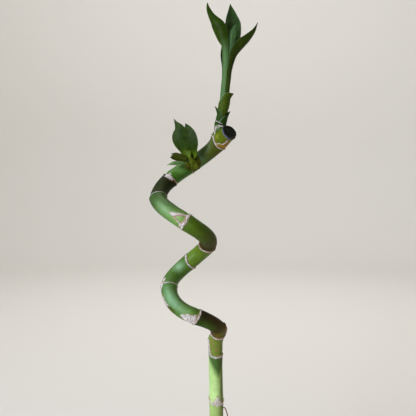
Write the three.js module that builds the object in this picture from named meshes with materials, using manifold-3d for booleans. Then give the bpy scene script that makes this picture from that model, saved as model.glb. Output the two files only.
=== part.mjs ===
// Lucky bamboo: a cane trained into a spiral, with two leafy shoots, standing in a vase of pebbles.
// Millimetres, +Z up. The origin is the centre of the vase's base, and the viewer stands on the -Y side.

import * as THREE from "three";
import Module from "manifold-3d";

// Driving dimensions of the vase and its filling

const VASE = {
  height: 120,
  baseRadius: 30,
  rimRadius: 34,
  wall: 3.6,
  floor: 6,
  footChamfer: 1.2,
  segments: 56,
};

const PEBBLES = {
  top: 101,
  stoneRadius: 6.4,
  stoneRise: 6,
  spacing: 5.6,
  stones: 44,
  rings: 11,
  segments: 48,
};

// Driving dimensions of the cane: it rises straight, then swings left and right around a free centre line

const CANE = {
  bottom: 14.3,
  straightTop: 211,
  bottomX: 0.7,
  straightTopX: -0.6,
  straightRadius: 6.3,
  spiralRadius: 7.5,
  swellFrom: 185,
  swellTo: 325,
  sides: 16,
  straightStep: 15,
  spiralStep: 4.8,
};

// The far right and far left of each half turn, and how much slower the cane climbs through its ends
const TURNS = [
  { x: 3.3, z: 218.3, ease: 0.37 },
  { x: -42.6, z: 262.1, ease: -0.18 },
  { x: -6.9, z: 302.1, ease: -0.14 },
  { x: -52.4, z: 342.0, ease: 0 },
  { x: 16.7, z: 414.1, ease: 0 },
];

// Past the middle of the last half turn the cane straightens and comes forward to its cut end
const CANE_END = [
  [-6.7, 32.6, 386.2],
  [-2.7, 31.0, 389.6],
  [1.6, 28.4, 393.7],
  [5.6, 25.0, 397.6],
  [8.7, 21.1, 400.1],
  [11.6, 17.0, 402.1],
];
const CUT_NORMAL = new THREE.Vector3(0.48, -0.77, 0.42).normalize();

// Growth rings: distance along the cane, and how far the ring climbs on the side that each axis points to
const RINGS = [
  { at: 52, slant: [0, 1, 0] },
  { at: 99, slant: [1, 1, 0] },
  { at: 146, slant: [-1, 3, 0] },
  { at: 191.5, slant: [-6.5, 5.5, 0] },
  { at: 210, slant: [2, 3, 1] },
  { at: 242.3, slant: [0, 0, -1] },
  { at: 287, slant: [0, 1, -2] },
  { at: 322, slant: [0, 2, 0] },
  { at: 348, slant: [1, -1, -2] },
  { at: 394, slant: [0, -1, 0] },
  { at: 436, slant: [1, 2, -2] },
  { at: 469, slant: [0, 3, -1] },
  { at: 493, slant: [0, 2, -1] },
  { at: 533.5, slant: [3, 2, -1] },
];
const RING_RIDGE = 0.55;
const RING_WIDTH = 1.2;
const RING_GROOVE = 0.3;
const NODE_SWELL = 0.35;
const NODE_SWELL_LENGTH = 7;
const SLANT_REACH = 11;

// Resting buds and the shoulders that the shoots grew from: a low mound on one side of the cane
const MOUNDS = [
  { at: 399.5, towards: [0, -1, 0.05], height: 1, length: 4.5, breadth: 3.4 },
  { at: 150, towards: [0.2, -1, 0], height: 0.6, length: 3.5, breadth: 2.8 },
  { at: 248, towards: [-0.3, -0.8, -0.5], height: 0.6, length: 4.5, breadth: 3 },
  { at: 495, towards: [-0.15, -0.92, 0.35], height: 0.9, length: 6, breadth: 5 },
  { at: 536, towards: [-0.6, 0.1, 0.8], height: 0.8, length: 5, breadth: 6 },
];
const TOP_SWELL = { at: 534, height: 0.8, length: 8 };

const SEAL = { radius: 8, thickness: 1.7 };

// Shoots
const UPPER_STEM_LINE = [
  [4.2, 26.4, 398],
  [3.6, 26.9, 409.5],
  [4.6, 27, 416.2],
  [7.3, 27, 430],
  [8.6, 26, 447],
  [9.7, 25.1, 459],
  [10.2, 24.8, 463],
];
const UPPER_STEM_RADIUS = 2.9;
const UPPER_STEM_TIP = { radius: 1.6, from: 444, to: 460 };
const UPPER_STEM_BASE = { radius: 5.6, top: 410.4, shoulder: 2.2 };

const LOWER_STEM_LINE = [
  [-24, 30.5, 372],
  [-24.3, 26.4, 373.6],
  [-24.6, 24, 376.4],
  [-25, 23.2, 380.6],
];
const LOWER_STEM_RADIUS = 3;

const BLADE_THICKNESS = 0.7;
const GAP = 0.3;
const NEST_GAP = 0.4;

const wasm = await Module();
wasm.setup();

const vec = (p) => new THREE.Vector3(...p);
const smooth = (x) => THREE.MathUtils.smoothstep(x, 0, 1);
const bell = (x) => Math.exp(-x * x);

// Closed surface through rings of points, each ring with as many points, capped by a fan at both ends
function loft(rings) {
  const n = rings[0].length;
  const points = rings.flat();
  const faces = [];
  for (let i = 0; i + 1 < rings.length; i++) {
    for (let j = 0; j < n; j++) {
      const a = i * n + j;
      const b = i * n + ((j + 1) % n);
      faces.push([a, b, b + n], [a, b + n, a + n]);
    }
  }
  for (const [ring, turned] of [[0, true], [rings.length - 1, false]]) {
    const centre = new THREE.Vector3();
    rings[ring].forEach((p) => centre.addScaledVector(p, 1 / n));
    points.push(centre);
    for (let j = 0; j < n; j++) {
      const a = ring * n + j;
      const b = ring * n + ((j + 1) % n);
      faces.push(turned ? [b, a, points.length - 1] : [a, b, points.length - 1]);
    }
  }
  return { points, faces };
}

function toGeometry({ points, faces }) {
  const geometry = new THREE.BufferGeometry().setFromPoints(points);
  geometry.setIndex(faces.flat());
  geometry.computeVertexNormals();
  return geometry;
}

function toSolid({ points, faces }) {
  return new wasm.Manifold(
    new wasm.Mesh({
      numProp: 3,
      vertProperties: new Float32Array(points.flatMap((p) => p.toArray())),
      triVerts: new Uint32Array(faces.flat()),
    }),
  );
}

function fromSolid(solid) {
  const mesh = solid.getMesh();
  const geometry = new THREE.BufferGeometry();
  geometry.setAttribute("position", new THREE.BufferAttribute(mesh.vertProperties, mesh.numProp));
  geometry.setIndex(new THREE.BufferAttribute(mesh.triVerts, 1));
  geometry.computeVertexNormals();
  return geometry;
}

function smoothCurve(points) {
  const curve = new THREE.CatmullRomCurve3(points, false, "centripetal");
  curve.arcLengthDivisions = 1600;
  return curve;
}

// Frames carried along a curve without twist, the first one facing the viewer
function carriedFrames(curve, distances) {
  const length = curve.getLength();
  const across = new THREE.Vector3(0, -1, 0);
  return distances.map((s) => {
    const u = THREE.MathUtils.clamp(s / length, 0, 1);
    const along = curve.getTangentAt(u);
    across.addScaledVector(along, -across.dot(along)).normalize();
    return {
      centre: curve.getPointAt(u),
      along,
      across: across.clone(),
      aside: new THREE.Vector3().crossVectors(along, across),
    };
  });
}

// The cane's centre line

const HALF_TURN_STEPS = 8;

function caneLine() {
  const points = [];
  for (let i = 0; i < 5; i++) {
    const x = THREE.MathUtils.lerp(CANE.bottomX, CANE.straightTopX, i / 4);
    points.push(new THREE.Vector3(x, 0, THREE.MathUtils.lerp(CANE.bottom, CANE.straightTop, i / 4)));
  }
  for (let turn = 0; turn + 1 < TURNS.length; turn++) {
    const from = TURNS[turn];
    const to = TURNS[turn + 1];
    const radius = (from.x - to.x) / 2;
    const side = turn % 2 === 0 ? -1 : 1;
    const last = turn + 2 === TURNS.length;
    const steps = last ? HALF_TURN_STEPS / 2 : HALF_TURN_STEPS;
    for (let i = 1; i <= steps; i++) {
      const t = i / HALF_TURN_STEPS;
      const climb = t + (from.ease * Math.sin(2 * Math.PI * t)) / (2 * Math.PI);
      points.push(
        new THREE.Vector3(
          (from.x + to.x) / 2 + radius * Math.cos(Math.PI * t),
          side * Math.abs(radius) * Math.sin(Math.PI * t),
          THREE.MathUtils.lerp(from.z, to.z, climb),
        ),
      );
    }
  }
  CANE_END.forEach((p) => points.push(vec(p)));
  return smoothCurve(points);
}

const caneCurve = caneLine();
const caneLength = caneCurve.getLength();

// Radius of the cane at a distance along it, towards one outward direction
function caneRadius(s, outward) {
  const grown = smooth((s - CANE.swellFrom) / (CANE.swellTo - CANE.swellFrom));
  let radius = THREE.MathUtils.lerp(CANE.straightRadius, CANE.spiralRadius, grown);
  for (const ring of RINGS) {
    const x = s - ring.at - outward.dot(vec(ring.slant));
    radius += RING_RIDGE * bell(x / RING_WIDTH);
    radius -= RING_GROOVE * bell((x - 2 * RING_WIDTH) / RING_WIDTH);
    radius += NODE_SWELL * bell(x / NODE_SWELL_LENGTH);
  }
  for (const mound of MOUNDS) {
    const turned = outward.angleTo(vec(mound.towards)) * radius;
    radius += mound.height * bell((s - mound.at) / mound.length) * bell(turned / mound.breadth);
  }
  return radius + TOP_SWELL.height * bell((s - TOP_SWELL.at) / TOP_SWELL.length);
}

// Sections stand close at each growth ring and wide apart between
function caneStations() {
  const stations = [0];
  const ringOffsets = [-1.5, 0, 1.2, 2.6];
  for (let s = CANE.straightStep; s < caneLength - 2; ) {
    stations.push(s);
    s += s < RINGS[3].at - SLANT_REACH ? CANE.straightStep : CANE.spiralStep;
  }
  const clearOfRings = stations.filter((s) => RINGS.every((ring) => Math.abs(s - ring.at - 0.6) > 3.6));
  const atRings = RINGS.flatMap((ring) => ringOffsets.map((offset) => ring.at + offset));
  return [...clearOfRings, ...atRings, caneLength].sort((a, b) => a - b);
}

function caneSurface(growth) {
  const stations = caneStations();
  const frames = carriedFrames(caneCurve, stations);
  const rings = frames.map(({ centre, along, across, aside }, i) => {
    const s = stations[i];
    const near = RINGS.reduce((a, b) => (Math.abs(s - b.at) < Math.abs(s - a.at) ? b : a));
    const share = 1 - smooth((Math.abs(s - near.at) - 3) / (SLANT_REACH - 3));
    return Array.from({ length: CANE.sides }, (_, j) => {
      const angle = (2 * Math.PI * j) / CANE.sides;
      const outward = new THREE.Vector3()
        .addScaledVector(across, Math.cos(angle))
        .addScaledVector(aside, Math.sin(angle));
      const shift = i === 0 ? -growth : share * outward.dot(vec(near.slant));
      const point = centre.clone().addScaledVector(outward, caneRadius(s + shift, outward) + growth);
      if (i < frames.length - 1) return point.addScaledVector(along, shift);
      const offCut = point.clone().sub(centre).dot(CUT_NORMAL) / along.dot(CUT_NORMAL);
      return point.addScaledVector(along, growth - offCut);
    });
  });
  return loft(rings);
}

const caneClearance = toSolid(caneSurface(GAP));

// Vase and pebbles

function vaseShell() {
  const { height, baseRadius, rimRadius, wall, floor, footChamfer } = VASE;
  const rim = wall / 2;
  const taper = (rimRadius - baseRadius) / height;
  const outerAt = (z) => baseRadius + taper * z;
  const profile = [
    new THREE.Vector2(0, 0),
    new THREE.Vector2(baseRadius - footChamfer, 0),
    new THREE.Vector2(outerAt(footChamfer), footChamfer),
    new THREE.Vector2(outerAt(height / 2), height / 2),
  ];
  for (let i = 0; i <= 4; i++) {
    const angle = (Math.PI * i) / 4;
    const middle = outerAt(height - rim) - rim;
    profile.push(new THREE.Vector2(middle + rim * Math.cos(angle), height - rim + rim * Math.sin(angle)));
  }
  profile.push(new THREE.Vector2(outerAt(height / 2) - wall, height / 2));
  profile.push(new THREE.Vector2(outerAt(floor + 4) - wall, floor + 4));
  profile.push(new THREE.Vector2(outerAt(floor) - wall - 4, floor));
  profile.push(new THREE.Vector2(0, floor));
  const geometry = new THREE.LatheGeometry(profile, VASE.segments);
  return geometry.rotateX(Math.PI / 2);
}

// Stones lie in a sunflower pattern, so each has its own room. Their tops stand a little unlike in height
function stoneTops() {
  const goldenAngle = Math.PI * (3 - Math.sqrt(5));
  const tops = [];
  for (let i = 0; i < PEBBLES.stones; i++) {
    const reach = PEBBLES.spacing * Math.sqrt(i + 0.6);
    tops.push({
      x: reach * Math.cos(i * goldenAngle),
      y: reach * Math.sin(i * goldenAngle),
      rise: PEBBLES.stoneRise * (1 + 0.18 * Math.sin(2.4 * i)),
    });
  }
  return tops;
}

function pebbleBed() {
  const taper = (VASE.rimRadius - VASE.baseRadius) / VASE.height;
  const insideAt = (z) => VASE.baseRadius + taper * z - VASE.wall - GAP;
  const low = VASE.floor + 4 + GAP;
  const tops = stoneTops();
  const heightAt = (x, y) =>
    tops.reduce((best, stone) => {
      const off = Math.hypot(x - stone.x, y - stone.y) / PEBBLES.stoneRadius;
      const rise = stone.rise * Math.sqrt(Math.max(0, 1 - off * off));
      return Math.max(best, PEBBLES.top + rise);
    }, PEBBLES.top);
  const ringAt = (radius, z) =>
    Array.from({ length: PEBBLES.segments }, (_, j) => {
      const angle = (2 * Math.PI * j) / PEBBLES.segments;
      const x = radius * Math.cos(angle);
      const y = radius * Math.sin(angle);
      return new THREE.Vector3(x, y, z === undefined ? heightAt(x, y) : z);
    });
  const rings = [ringAt(insideAt(low) - 4, VASE.floor + GAP), ringAt(insideAt(low), low)];
  const edge = insideAt(PEBBLES.top) - GAP;
  rings.push(ringAt(edge, PEBBLES.top - 1));
  for (let i = 0; i < PEBBLES.rings; i++) rings.push(ringAt(edge * (1 - (i + 0.15) / PEBBLES.rings)));
  return fromSolid(toSolid(loft(rings)).subtract(caneClearance));
}

// Wax cap over the cane's cut end

function sealCap() {
  const { radius, thickness } = SEAL;
  const profile = [
    new THREE.Vector2(0, 0),
    new THREE.Vector2(radius - 0.7, 0),
    new THREE.Vector2(radius, 0.5),
    new THREE.Vector2(radius - 0.3, thickness - 0.5),
    new THREE.Vector2(radius - 1.6, thickness),
    new THREE.Vector2(0, thickness + 0.3),
  ];
  return new THREE.LatheGeometry(profile, 28);
}

// Shoot stems

function stemCurve(line) {
  return smoothCurve(line.map(vec));
}

function stemSurface(curve, radiusAt, steps, sides) {
  const length = curve.getLength();
  const distances = Array.from({ length: steps + 1 }, (_, i) => (length * i) / steps);
  const rings = carriedFrames(curve, distances).map(({ centre, across, aside }, i) =>
    Array.from({ length: sides }, (_, j) => {
      const angle = (2 * Math.PI * j) / sides;
      const radius = radiusAt(centre.z, i / steps);
      return centre
        .clone()
        .addScaledVector(across, radius * Math.cos(angle))
        .addScaledVector(aside, radius * Math.sin(angle));
    }),
  );
  return loft(rings);
}

const upperCurve = stemCurve(UPPER_STEM_LINE);
const lowerCurve = stemCurve(LOWER_STEM_LINE);

function upperStem() {
  const { radius, top, shoulder } = UPPER_STEM_BASE;
  const tip = UPPER_STEM_TIP;
  const radiusAt = (z) =>
    z < tip.from
      ? THREE.MathUtils.lerp(radius, UPPER_STEM_RADIUS, smooth((z - top) / shoulder))
      : THREE.MathUtils.lerp(UPPER_STEM_RADIUS, tip.radius, smooth((z - tip.from) / (tip.to - tip.from)));
  return fromSolid(toSolid(stemSurface(upperCurve, radiusAt, 24, 14)).subtract(caneClearance));
}

function lowerStem() {
  const radiusAt = (z, t) => LOWER_STEM_RADIUS * (1.25 - 0.35 * t);
  return fromSolid(toSolid(stemSurface(lowerCurve, radiusAt, 8, 12)).subtract(caneClearance));
}

// Point on a stem's centre line at a height, found by halving
function stemAt(curve, z) {
  let low = 0;
  let high = 1;
  for (let i = 0; i < 30; i++) {
    const middle = (low + high) / 2;
    if (curve.getPoint(middle).z < z) low = middle;
    else high = middle;
  }
  return curve.getPoint(low);
}

// Value between rows of [place, value, ...], on a smooth line through them
function between(rows, column, t) {
  const last = rows.length - 1;
  let i = 0;
  while (i < last - 1 && t > rows[i + 1][0]) i++;
  const slope = (k) => {
    const a = rows[Math.max(k - 1, 0)];
    const b = rows[Math.min(k + 1, last)];
    return (b[column] - a[column]) / (b[0] - a[0]);
  };
  const span = rows[i + 1][0] - rows[i][0];
  const x = THREE.MathUtils.clamp((t - rows[i][0]) / span, 0, 1);
  const rise = (3 - 2 * x) * x * x;
  return (
    rows[i][column] * (1 - rise) +
    rows[i + 1][column] * rise +
    slope(i) * span * x * (1 - x) * (1 - x) +
    slope(i + 1) * span * x * x * (x - 1)
  );
}

// A leaf is a thin blade along its midrib. Each section is an arc: rolled up in the sheath, open in the
// blade. Rows of shape hold the place along the midrib from 0 to 1, half the width, half the angle of the
// arc and the fold at the midrib. The upper face looks towards faces, from the base to the tip.
function leaf({ line, faces, shape, steps = 12, spans = 8 }) {
  const curve = smoothCurve(line);
  const facing = smoothCurve(faces.map((f) => vec(f).normalize()));
  const half = BLADE_THICKNESS / 2;
  const rings = [];
  for (let i = 0; i <= steps; i++) {
    const t = i / steps;
    const along = curve.getTangentAt(t);
    const normal = facing.getPoint(t);
    normal.addScaledVector(along, -normal.dot(along)).normalize();
    const side = new THREE.Vector3().crossVectors(along, normal);
    const width = between(shape, 1, t);
    const roll = between(shape, 2, t);
    const fold = between(shape, 3, t);
    const radius = width / roll;
    const under = [];
    const over = [];
    for (let j = 0; j <= spans; j++) {
      const u = 1 - (2 * j) / spans;
      const outward = new THREE.Vector3()
        .addScaledVector(side, Math.sin(u * roll))
        .addScaledVector(normal, -Math.cos(u * roll));
      const point = curve
        .getPointAt(t)
        .addScaledVector(normal, radius + fold * Math.abs(u) * width)
        .addScaledVector(outward, radius);
      under.push(point.clone().addScaledVector(outward, half));
      over.unshift(point.addScaledVector(outward, -half));
    }
    rings.push([...under, ...over]);
  }
  return bladeSurface(rings, spans);
}

// Both faces of a blade are split alike, so they never cross where the blade is bent
function bladeSurface(rings, spans) {
  const n = 2 * (spans + 1);
  const points = rings.flat();
  const faces = [];
  const quad = (a, b, c, d, turned) => {
    if (turned) faces.push([a, b, d], [b, c, d]);
    else faces.push([a, b, c], [a, c, d]);
  };
  for (let i = 0; i + 1 < rings.length; i++) {
    for (let j = 0; j < n; j++) {
      const a = i * n + j;
      const b = i * n + ((j + 1) % n);
      quad(a, b, b + n, a + n, j > spans);
    }
  }
  for (const [ring, turned] of [[0, true], [rings.length - 1, false]]) {
    for (let j = 0; j < spans; j++) {
      const a = ring * n + j;
      const b = ring * n + n - 1 - j;
      if (turned) quad(a, b, b - 1, a + 1, false);
      else quad(a, a + 1, b - 1, b, false);
    }
  }
  return { points, faces };
}

// Midrib points on the outside of a stem, up to where the blade leaves it
function sheathLine(curve, heights, towards, radius) {
  const outward = vec(towards).normalize();
  return heights.map((z) => stemAt(curve, z).addScaledVector(outward, radius));
}

const opposite = (p) => p.map((x) => -x);
const innerSheath = UPPER_STEM_RADIUS + NEST_GAP + BLADE_THICKNESS / 2;
const outerSheath = innerSheath + NEST_GAP + BLADE_THICKNESS;
const looseSheath = outerSheath + NEST_GAP + BLADE_THICKNESS + 0.2;

// Leaves of the upper shoot: the left one clasps the stem, the right and back ones clasp that from outside

function upperLeaves() {
  const leftSide = [-0.97, 0.26, 0];
  const rightSide = [0.87, -0.5, 0];
  const backSide = [-0.17, 0.98, 0];
  const left = {
    line: [
      ...sheathLine(upperCurve, [435, 448, 462], leftSide, innerSheath),
      vec([7.5, 25.2, 476]),
      vec([5.7, 25.2, 489]),
      vec([0.3, 23.8, 505]),
      vec([-6.4, 24.6, 519]),
      vec([-8.3, 26, 527.7]),
    ],
    faces: [opposite(leftSide), opposite(leftSide), [0.45, -0.9, 0.1], [0.35, -0.93, 0.1], [0.5, -0.8, 0.3]],
    shape: [
      [0, innerSheath * 2, 2, 0],
      [0.28, innerSheath * 1.9, 1.9, 0],
      [0.42, 7, 1.35, 0],
      [0.55, 6.8, 0.85, 0.05],
      [0.68, 7.3, 0.6, 0.1],
      [0.78, 4.9, 0.5, 0.12],
      [0.9, 2.3, 0.4, 0.15],
      [1, 0.35, 0.3, 0],
    ],
    steps: 18,
  };
  const right = {
    line: [
      ...sheathLine(upperCurve, [447, 455, 462], rightSide, outerSheath),
      vec([18.4, 20.4, 475.5]),
      vec([22.8, 20, 481.4]),
      vec([31.4, 19.6, 491.2]),
      vec([36.2, 19, 498]),
      vec([38.8, 18, 505.7]),
    ],
    faces: [opposite(rightSide), opposite(rightSide), [-0.8, 0.5, 0.5], [-0.6, 0.6, 0.6], [-0.8, 0.3, 0.4]],
    shape: [
      [0, outerSheath * 0.9, 0.9, 0],
      [0.27, outerSheath, 1, 0],
      [0.45, 6.6, 1, 0.1],
      [0.6, 7.4, 0.95, 0.25],
      [0.74, 5.4, 0.8, 0.25],
      [0.88, 3, 0.6, 0.2],
      [1, 0.35, 0.3, 0],
    ],
    steps: 14,
  };
  const back = {
    line: [
      ...sheathLine(upperCurve, [455, 462], backSide, outerSheath + 0.3),
      vec([10.5, 31.4, 475]),
      vec([12.8, 33.4, 490]),
      vec([13.9, 34, 505]),
      vec([14, 33.4, 516]),
      vec([13.9, 32, 529]),
    ],
    faces: [opposite(backSide), [0.1, -1, 0], [0.35, -0.94, 0.1], [0.6, -0.8, 0], [0.6, -0.8, -0.1]],
    shape: [
      [0, outerSheath * 0.7, 0.7, 0],
      [0.14, outerSheath * 1.1, 1.1, 0],
      [0.3, 7.8, 0.95, 0],
      [0.5, 8.4, 0.45, 0.22],
      [0.66, 9.4, 0.3, 0.28],
      [0.77, 8.9, 0.25, 0.3],
      [0.85, 6.4, 0.25, 0.3],
      [0.92, 3.6, 0.2, 0.25],
      [1, 0.35, 0.2, 0],
    ],
    steps: 16,
  };
  const young = {
    line: [
      vec([10.3, 24.7, 463.4]),
      vec([12, 23, 470]),
      vec([13.2, 21.6, 480]),
      vec([14.4, 20.4, 490]),
      vec([15.2, 20.2, 497.4]),
      vec([18.4, 20, 505.4]),
    ],
    faces: [[0, 1, 0], [0.25, 1, 0.1], [0.3, 1, 0]],
    shape: [
      [0, 2, 0.7, 0],
      [0.35, 2.9, 1, 0.1],
      [0.62, 3.2, 0.9, 0.2],
      [0.78, 3.3, 0.8, 0.2],
      [0.91, 1.8, 0.6, 0.2],
      [1, 0.35, 0.4, 0],
    ],
    spans: 6,
  };
  return { left, right, back, young };
}

// Scale leaves that clasp the base of the upper shoot: the right one wraps over the left one

function upperBracts() {
  const bract = (sheath, side, tip, shape) => ({
    line: [...sheath.map(([z, radius]) => sheathLine(upperCurve, [z], side, radius)[0]), vec(tip)],
    faces: [opposite(side), opposite(side), [-side[0], -side[1], 0.4]],
    shape: [...shape.map(([t, radius, roll]) => [t, radius * roll, roll, 0]), [1, 0.35, 0.4, 0]],
    spans: 10,
  });
  const inner = innerSheath;
  const outer = outerSheath;
  const loose = looseSheath;
  const left = bract([[414.2, outer], [418, outer], [422, outer]], [-0.93, -0.36, 0], [-0.9, 25.2, 429], [
    [0, outer, 1.9],
    [0.25, outer, 1.75],
    [0.55, outer, 1.1],
    [0.82, outer, 0.45],
  ]);
  const right = bract([[414.2, loose], [417, loose], [419.5, loose]], [0.93, 0.36, 0], [13.6, 27.6, 424.6], [
    [0, loose, 2.1],
    [0.4, loose, 1.75],
    [0.75, loose, 0.75],
  ]);
  const high = bract([[419.5, inner], [424, inner], [429, 5.4], [433, 5.8]], [0.9, -0.43, 0], [16.6, 24.4, 441], [
    [0, inner, 2],
    [0.2, inner, 1.9],
    [0.42, 5.6, 1.5],
    [0.7, 5.6, 1],
  ]);
  return { left, right, high };
}

// The lower shoot opens low on its stub: two broad leaves, two small ones on the left and two dried bracts

function lowerLeaves() {
  const clasp = LOWER_STEM_RADIUS + NEST_GAP + BLADE_THICKNESS / 2;
  const leftSide = [-0.85, -0.53, 0];
  const rightSide = [1, 0, 0];
  const left = {
    line: [
      ...sheathLine(lowerCurve, [377.4, 380], leftSide, clasp),
      vec([-30.2, 20.8, 386]),
      vec([-32.4, 20.2, 391]),
      vec([-34.8, 19.8, 398]),
      vec([-35.3, 20, 407]),
      vec([-38.2, 20.8, 413]),
      vec([-39.8, 21.5, 416.3]),
    ],
    faces: [opposite(leftSide), [0.5, 0.85, 0], [0.3, 0.95, 0], [0.3, 0.95, 0.1], [0.4, 0.9, 0.2]],
    shape: [
      [0, clasp * 0.8, 0.8, 0],
      [0.24, 5.2, 0.65, 0.1],
      [0.53, 7.2, 0.35, 0.15],
      [0.74, 4.6, 0.3, 0.12],
      [0.89, 1.7, 0.25, 0.1],
      [1, 0.35, 0.2, 0],
    ],
  };
  const right = {
    line: [
      ...sheathLine(lowerCurve, [378, 380.4], rightSide, clasp + 0.3),
      vec([-21.4, 24.8, 386]),
      vec([-21.4, 25.8, 393]),
      vec([-22.7, 26.4, 400]),
      vec([-24.8, 26.6, 405.6]),
      vec([-28.9, 26.6, 411.9]),
    ],
    faces: [opposite(rightSide), [-0.75, -0.66, 0], [-0.62, -0.78, 0], [-0.5, -0.85, 0], [-0.3, -0.9, -0.2]],
    shape: [
      [0, clasp * 0.8, 0.8, 0],
      [0.25, 5, 0.65, 0.15],
      [0.48, 7.6, 0.4, 0.25],
      [0.66, 7, 0.35, 0.28],
      [0.84, 3.8, 0.3, 0.2],
      [1, 0.35, 0.2, 0],
    ],
  };
  const dark = {
    line: [
      vec([-27.7, 19.4, 376.6]),
      vec([-32.6, 18.6, 378.4]),
      vec([-37, 18.6, 379.6]),
      vec([-42.1, 18, 382.6]),
    ],
    faces: [[0.1, 0.85, 0.5], [0.1, 0.85, 0.5], [0.2, 0.85, 0.4]],
    shape: [
      [0, 3, 0.6, 0],
      [0.3, 4.6, 0.5, 0.1],
      [0.65, 4.4, 0.45, 0.1],
      [0.85, 2.4, 0.4, 0.1],
      [1, 0.35, 0.3, 0],
    ],
    steps: 9,
    spans: 6,
  };
  const pale = {
    line: [
      vec([-28.4, 18.6, 372.8]),
      vec([-33, 18, 373.6]),
      vec([-39, 16.2, 373.2]),
      vec([-45.9, 15.2, 372.2]),
    ],
    faces: [[0, -0.7, 0.7], [0, -0.7, 0.7], [0, -0.6, 0.8]],
    shape: [
      [0, 2, 0.6, 0],
      [0.4, 3, 0.45, 0.1],
      [0.7, 2.6, 0.4, 0.1],
      [1, 0.35, 0.3, 0],
    ],
    steps: 9,
    spans: 6,
  };
  return { left, right, dark, pale };
}

function lowerBracts() {
  const right = {
    line: [vec([-16.6, 26.4, 370]), vec([-17, 24.8, 375]), vec([-17.6, 23.6, 379.8])],
    faces: [[0, 1, 0.1], [-0.1, 1, 0], [-0.1, 1, 0]],
    shape: [
      [0, 2, 0.7, 0],
      [0.5, 3.1, 0.6, 0.1],
      [1, 0.35, 0.4, 0],
    ],
    steps: 6,
    spans: 6,
  };
  const front = {
    line: [vec([-22, 25, 366.6]), vec([-22.2, 21.2, 371]), vec([-22.6, 18.2, 376]), vec([-23.8, 17.2, 381])],
    faces: [[0, 0.8, 0.5], [0, 0.9, 0.4], [0, 0.95, 0.2]],
    shape: [
      [0, 2.6, 0.7, 0],
      [0.35, 3.9, 0.6, 0.1],
      [0.65, 3.9, 0.6, 0.1],
      [1, 0.35, 0.4, 0],
    ],
    steps: 8,
    spans: 6,
  };
  return { right, front };
}

// Materials

const finish = (color, roughness) => new THREE.MeshStandardMaterial({ color, roughness, metalness: 0 });
const glaze = finish(0xe8e4dc, 0.25);
const stone = finish(0xb9b2a6, 0.7);
const caneSkin = finish(0x4f7d1f, 0.4);
const wax = finish(0x14201a, 0.55);
const youngStem = finish(0x6f9a52, 0.45);
const leafGreen = finish(0x2f5a14, 0.4);
const bractGreen = finish(0x6b8a1c, 0.55);

const plant = new THREE.Group();

function add(name, geometry, material) {
  const mesh = new THREE.Mesh(geometry, material);
  mesh.name = name;
  plant.add(mesh);
  return mesh;
}

add("vase", vaseShell(), glaze);
add("pebbles", pebbleBed(), stone);
add("cane", toGeometry(caneSurface(0)), caneSkin);

const seal = add("cut_seal", sealCap(), wax);
seal.quaternion.setFromUnitVectors(new THREE.Vector3(0, 1, 0), CUT_NORMAL);
seal.position.copy(caneCurve.getPoint(1)).addScaledVector(CUT_NORMAL, GAP);

add("upper_stem", upperStem(), youngStem);
add("lower_stem", lowerStem(), youngStem);

function addLeaves(prefix, leaves, material) {
  for (const [name, spec] of Object.entries(leaves)) add(prefix + name, toGeometry(leaf(spec)), material);
}

addLeaves("upper_leaf_", upperLeaves(), leafGreen);
addLeaves("upper_bract_", upperBracts(), bractGreen);
addLeaves("lower_leaf_", lowerLeaves(), leafGreen);
addLeaves("lower_bract_", lowerBracts(), bractGreen);

export default plant;
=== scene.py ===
import math
import bmesh
import bpy
import numpy as np
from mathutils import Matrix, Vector, noise
from mathutils.bvhtree import BVHTree


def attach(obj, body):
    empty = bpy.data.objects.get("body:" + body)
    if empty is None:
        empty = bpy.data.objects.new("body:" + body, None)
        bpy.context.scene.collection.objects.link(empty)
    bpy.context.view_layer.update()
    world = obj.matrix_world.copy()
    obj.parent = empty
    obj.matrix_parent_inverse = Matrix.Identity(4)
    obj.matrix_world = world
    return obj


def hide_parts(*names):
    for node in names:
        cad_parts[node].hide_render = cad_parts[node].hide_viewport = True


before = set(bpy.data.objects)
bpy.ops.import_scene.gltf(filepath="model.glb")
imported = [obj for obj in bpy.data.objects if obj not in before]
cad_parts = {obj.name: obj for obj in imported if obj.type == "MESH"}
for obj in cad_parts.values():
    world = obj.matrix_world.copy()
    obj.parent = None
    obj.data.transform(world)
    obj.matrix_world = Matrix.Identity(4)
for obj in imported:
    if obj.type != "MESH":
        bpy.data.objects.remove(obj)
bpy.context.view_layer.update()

mm = 0.001
fullTurn = 2 * math.pi


# small helpers: numbers and curves, all in millimetres until a mesh is made

def smooth(x):
    x = np.clip(x, 0, 1)
    return x * x * (3 - 2 * x)


def bell(x):
    return np.exp(-np.square(x))


def unit(v):
    v = np.asarray(v, float)
    return v / np.linalg.norm(v, axis=-1, keepdims=True)


def curveSpan(points, i, t):
    # one span of a centripetal curve through the points, t from 0 to 1
    p = [points[i - 1] if i > 0 else 2 * points[0] - points[1], points[i], points[i + 1],
         points[i + 2] if i + 2 < len(points) else 2 * points[i + 1] - points[i]]
    k = np.cumsum([0] + [max(np.linalg.norm(p[n + 1] - p[n]) ** 0.5, 1e-4) for n in range(3)])
    x = (k[1] + (k[2] - k[1]) * t)[:, None]
    mix = lambda a, b, low, high: ((high - x) * a + (x - low) * b) / (high - low)
    for level in (1, 2):
        p = [mix(p[n], p[n + 1], k[n], k[n + level]) for n in range(len(p) - 1)]
    return mix(*p, k[1], k[2])


def curveThrough(points, perSpan=60):
    points = np.asarray(points, float)
    t = np.linspace(0, 1, perSpan, endpoint=False)
    spans = [curveSpan(points, i, t) for i in range(len(points) - 1)]
    return np.vstack(spans + [points[-1:]])


def lengthsAlong(line):
    return np.concatenate([[0], np.cumsum(np.linalg.norm(np.diff(line, axis=0), axis=1))])


def lookUp(x, places, values):
    # rows of values at places, read between them
    return np.stack([np.interp(x, places, column) for column in values.T], -1)


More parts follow.
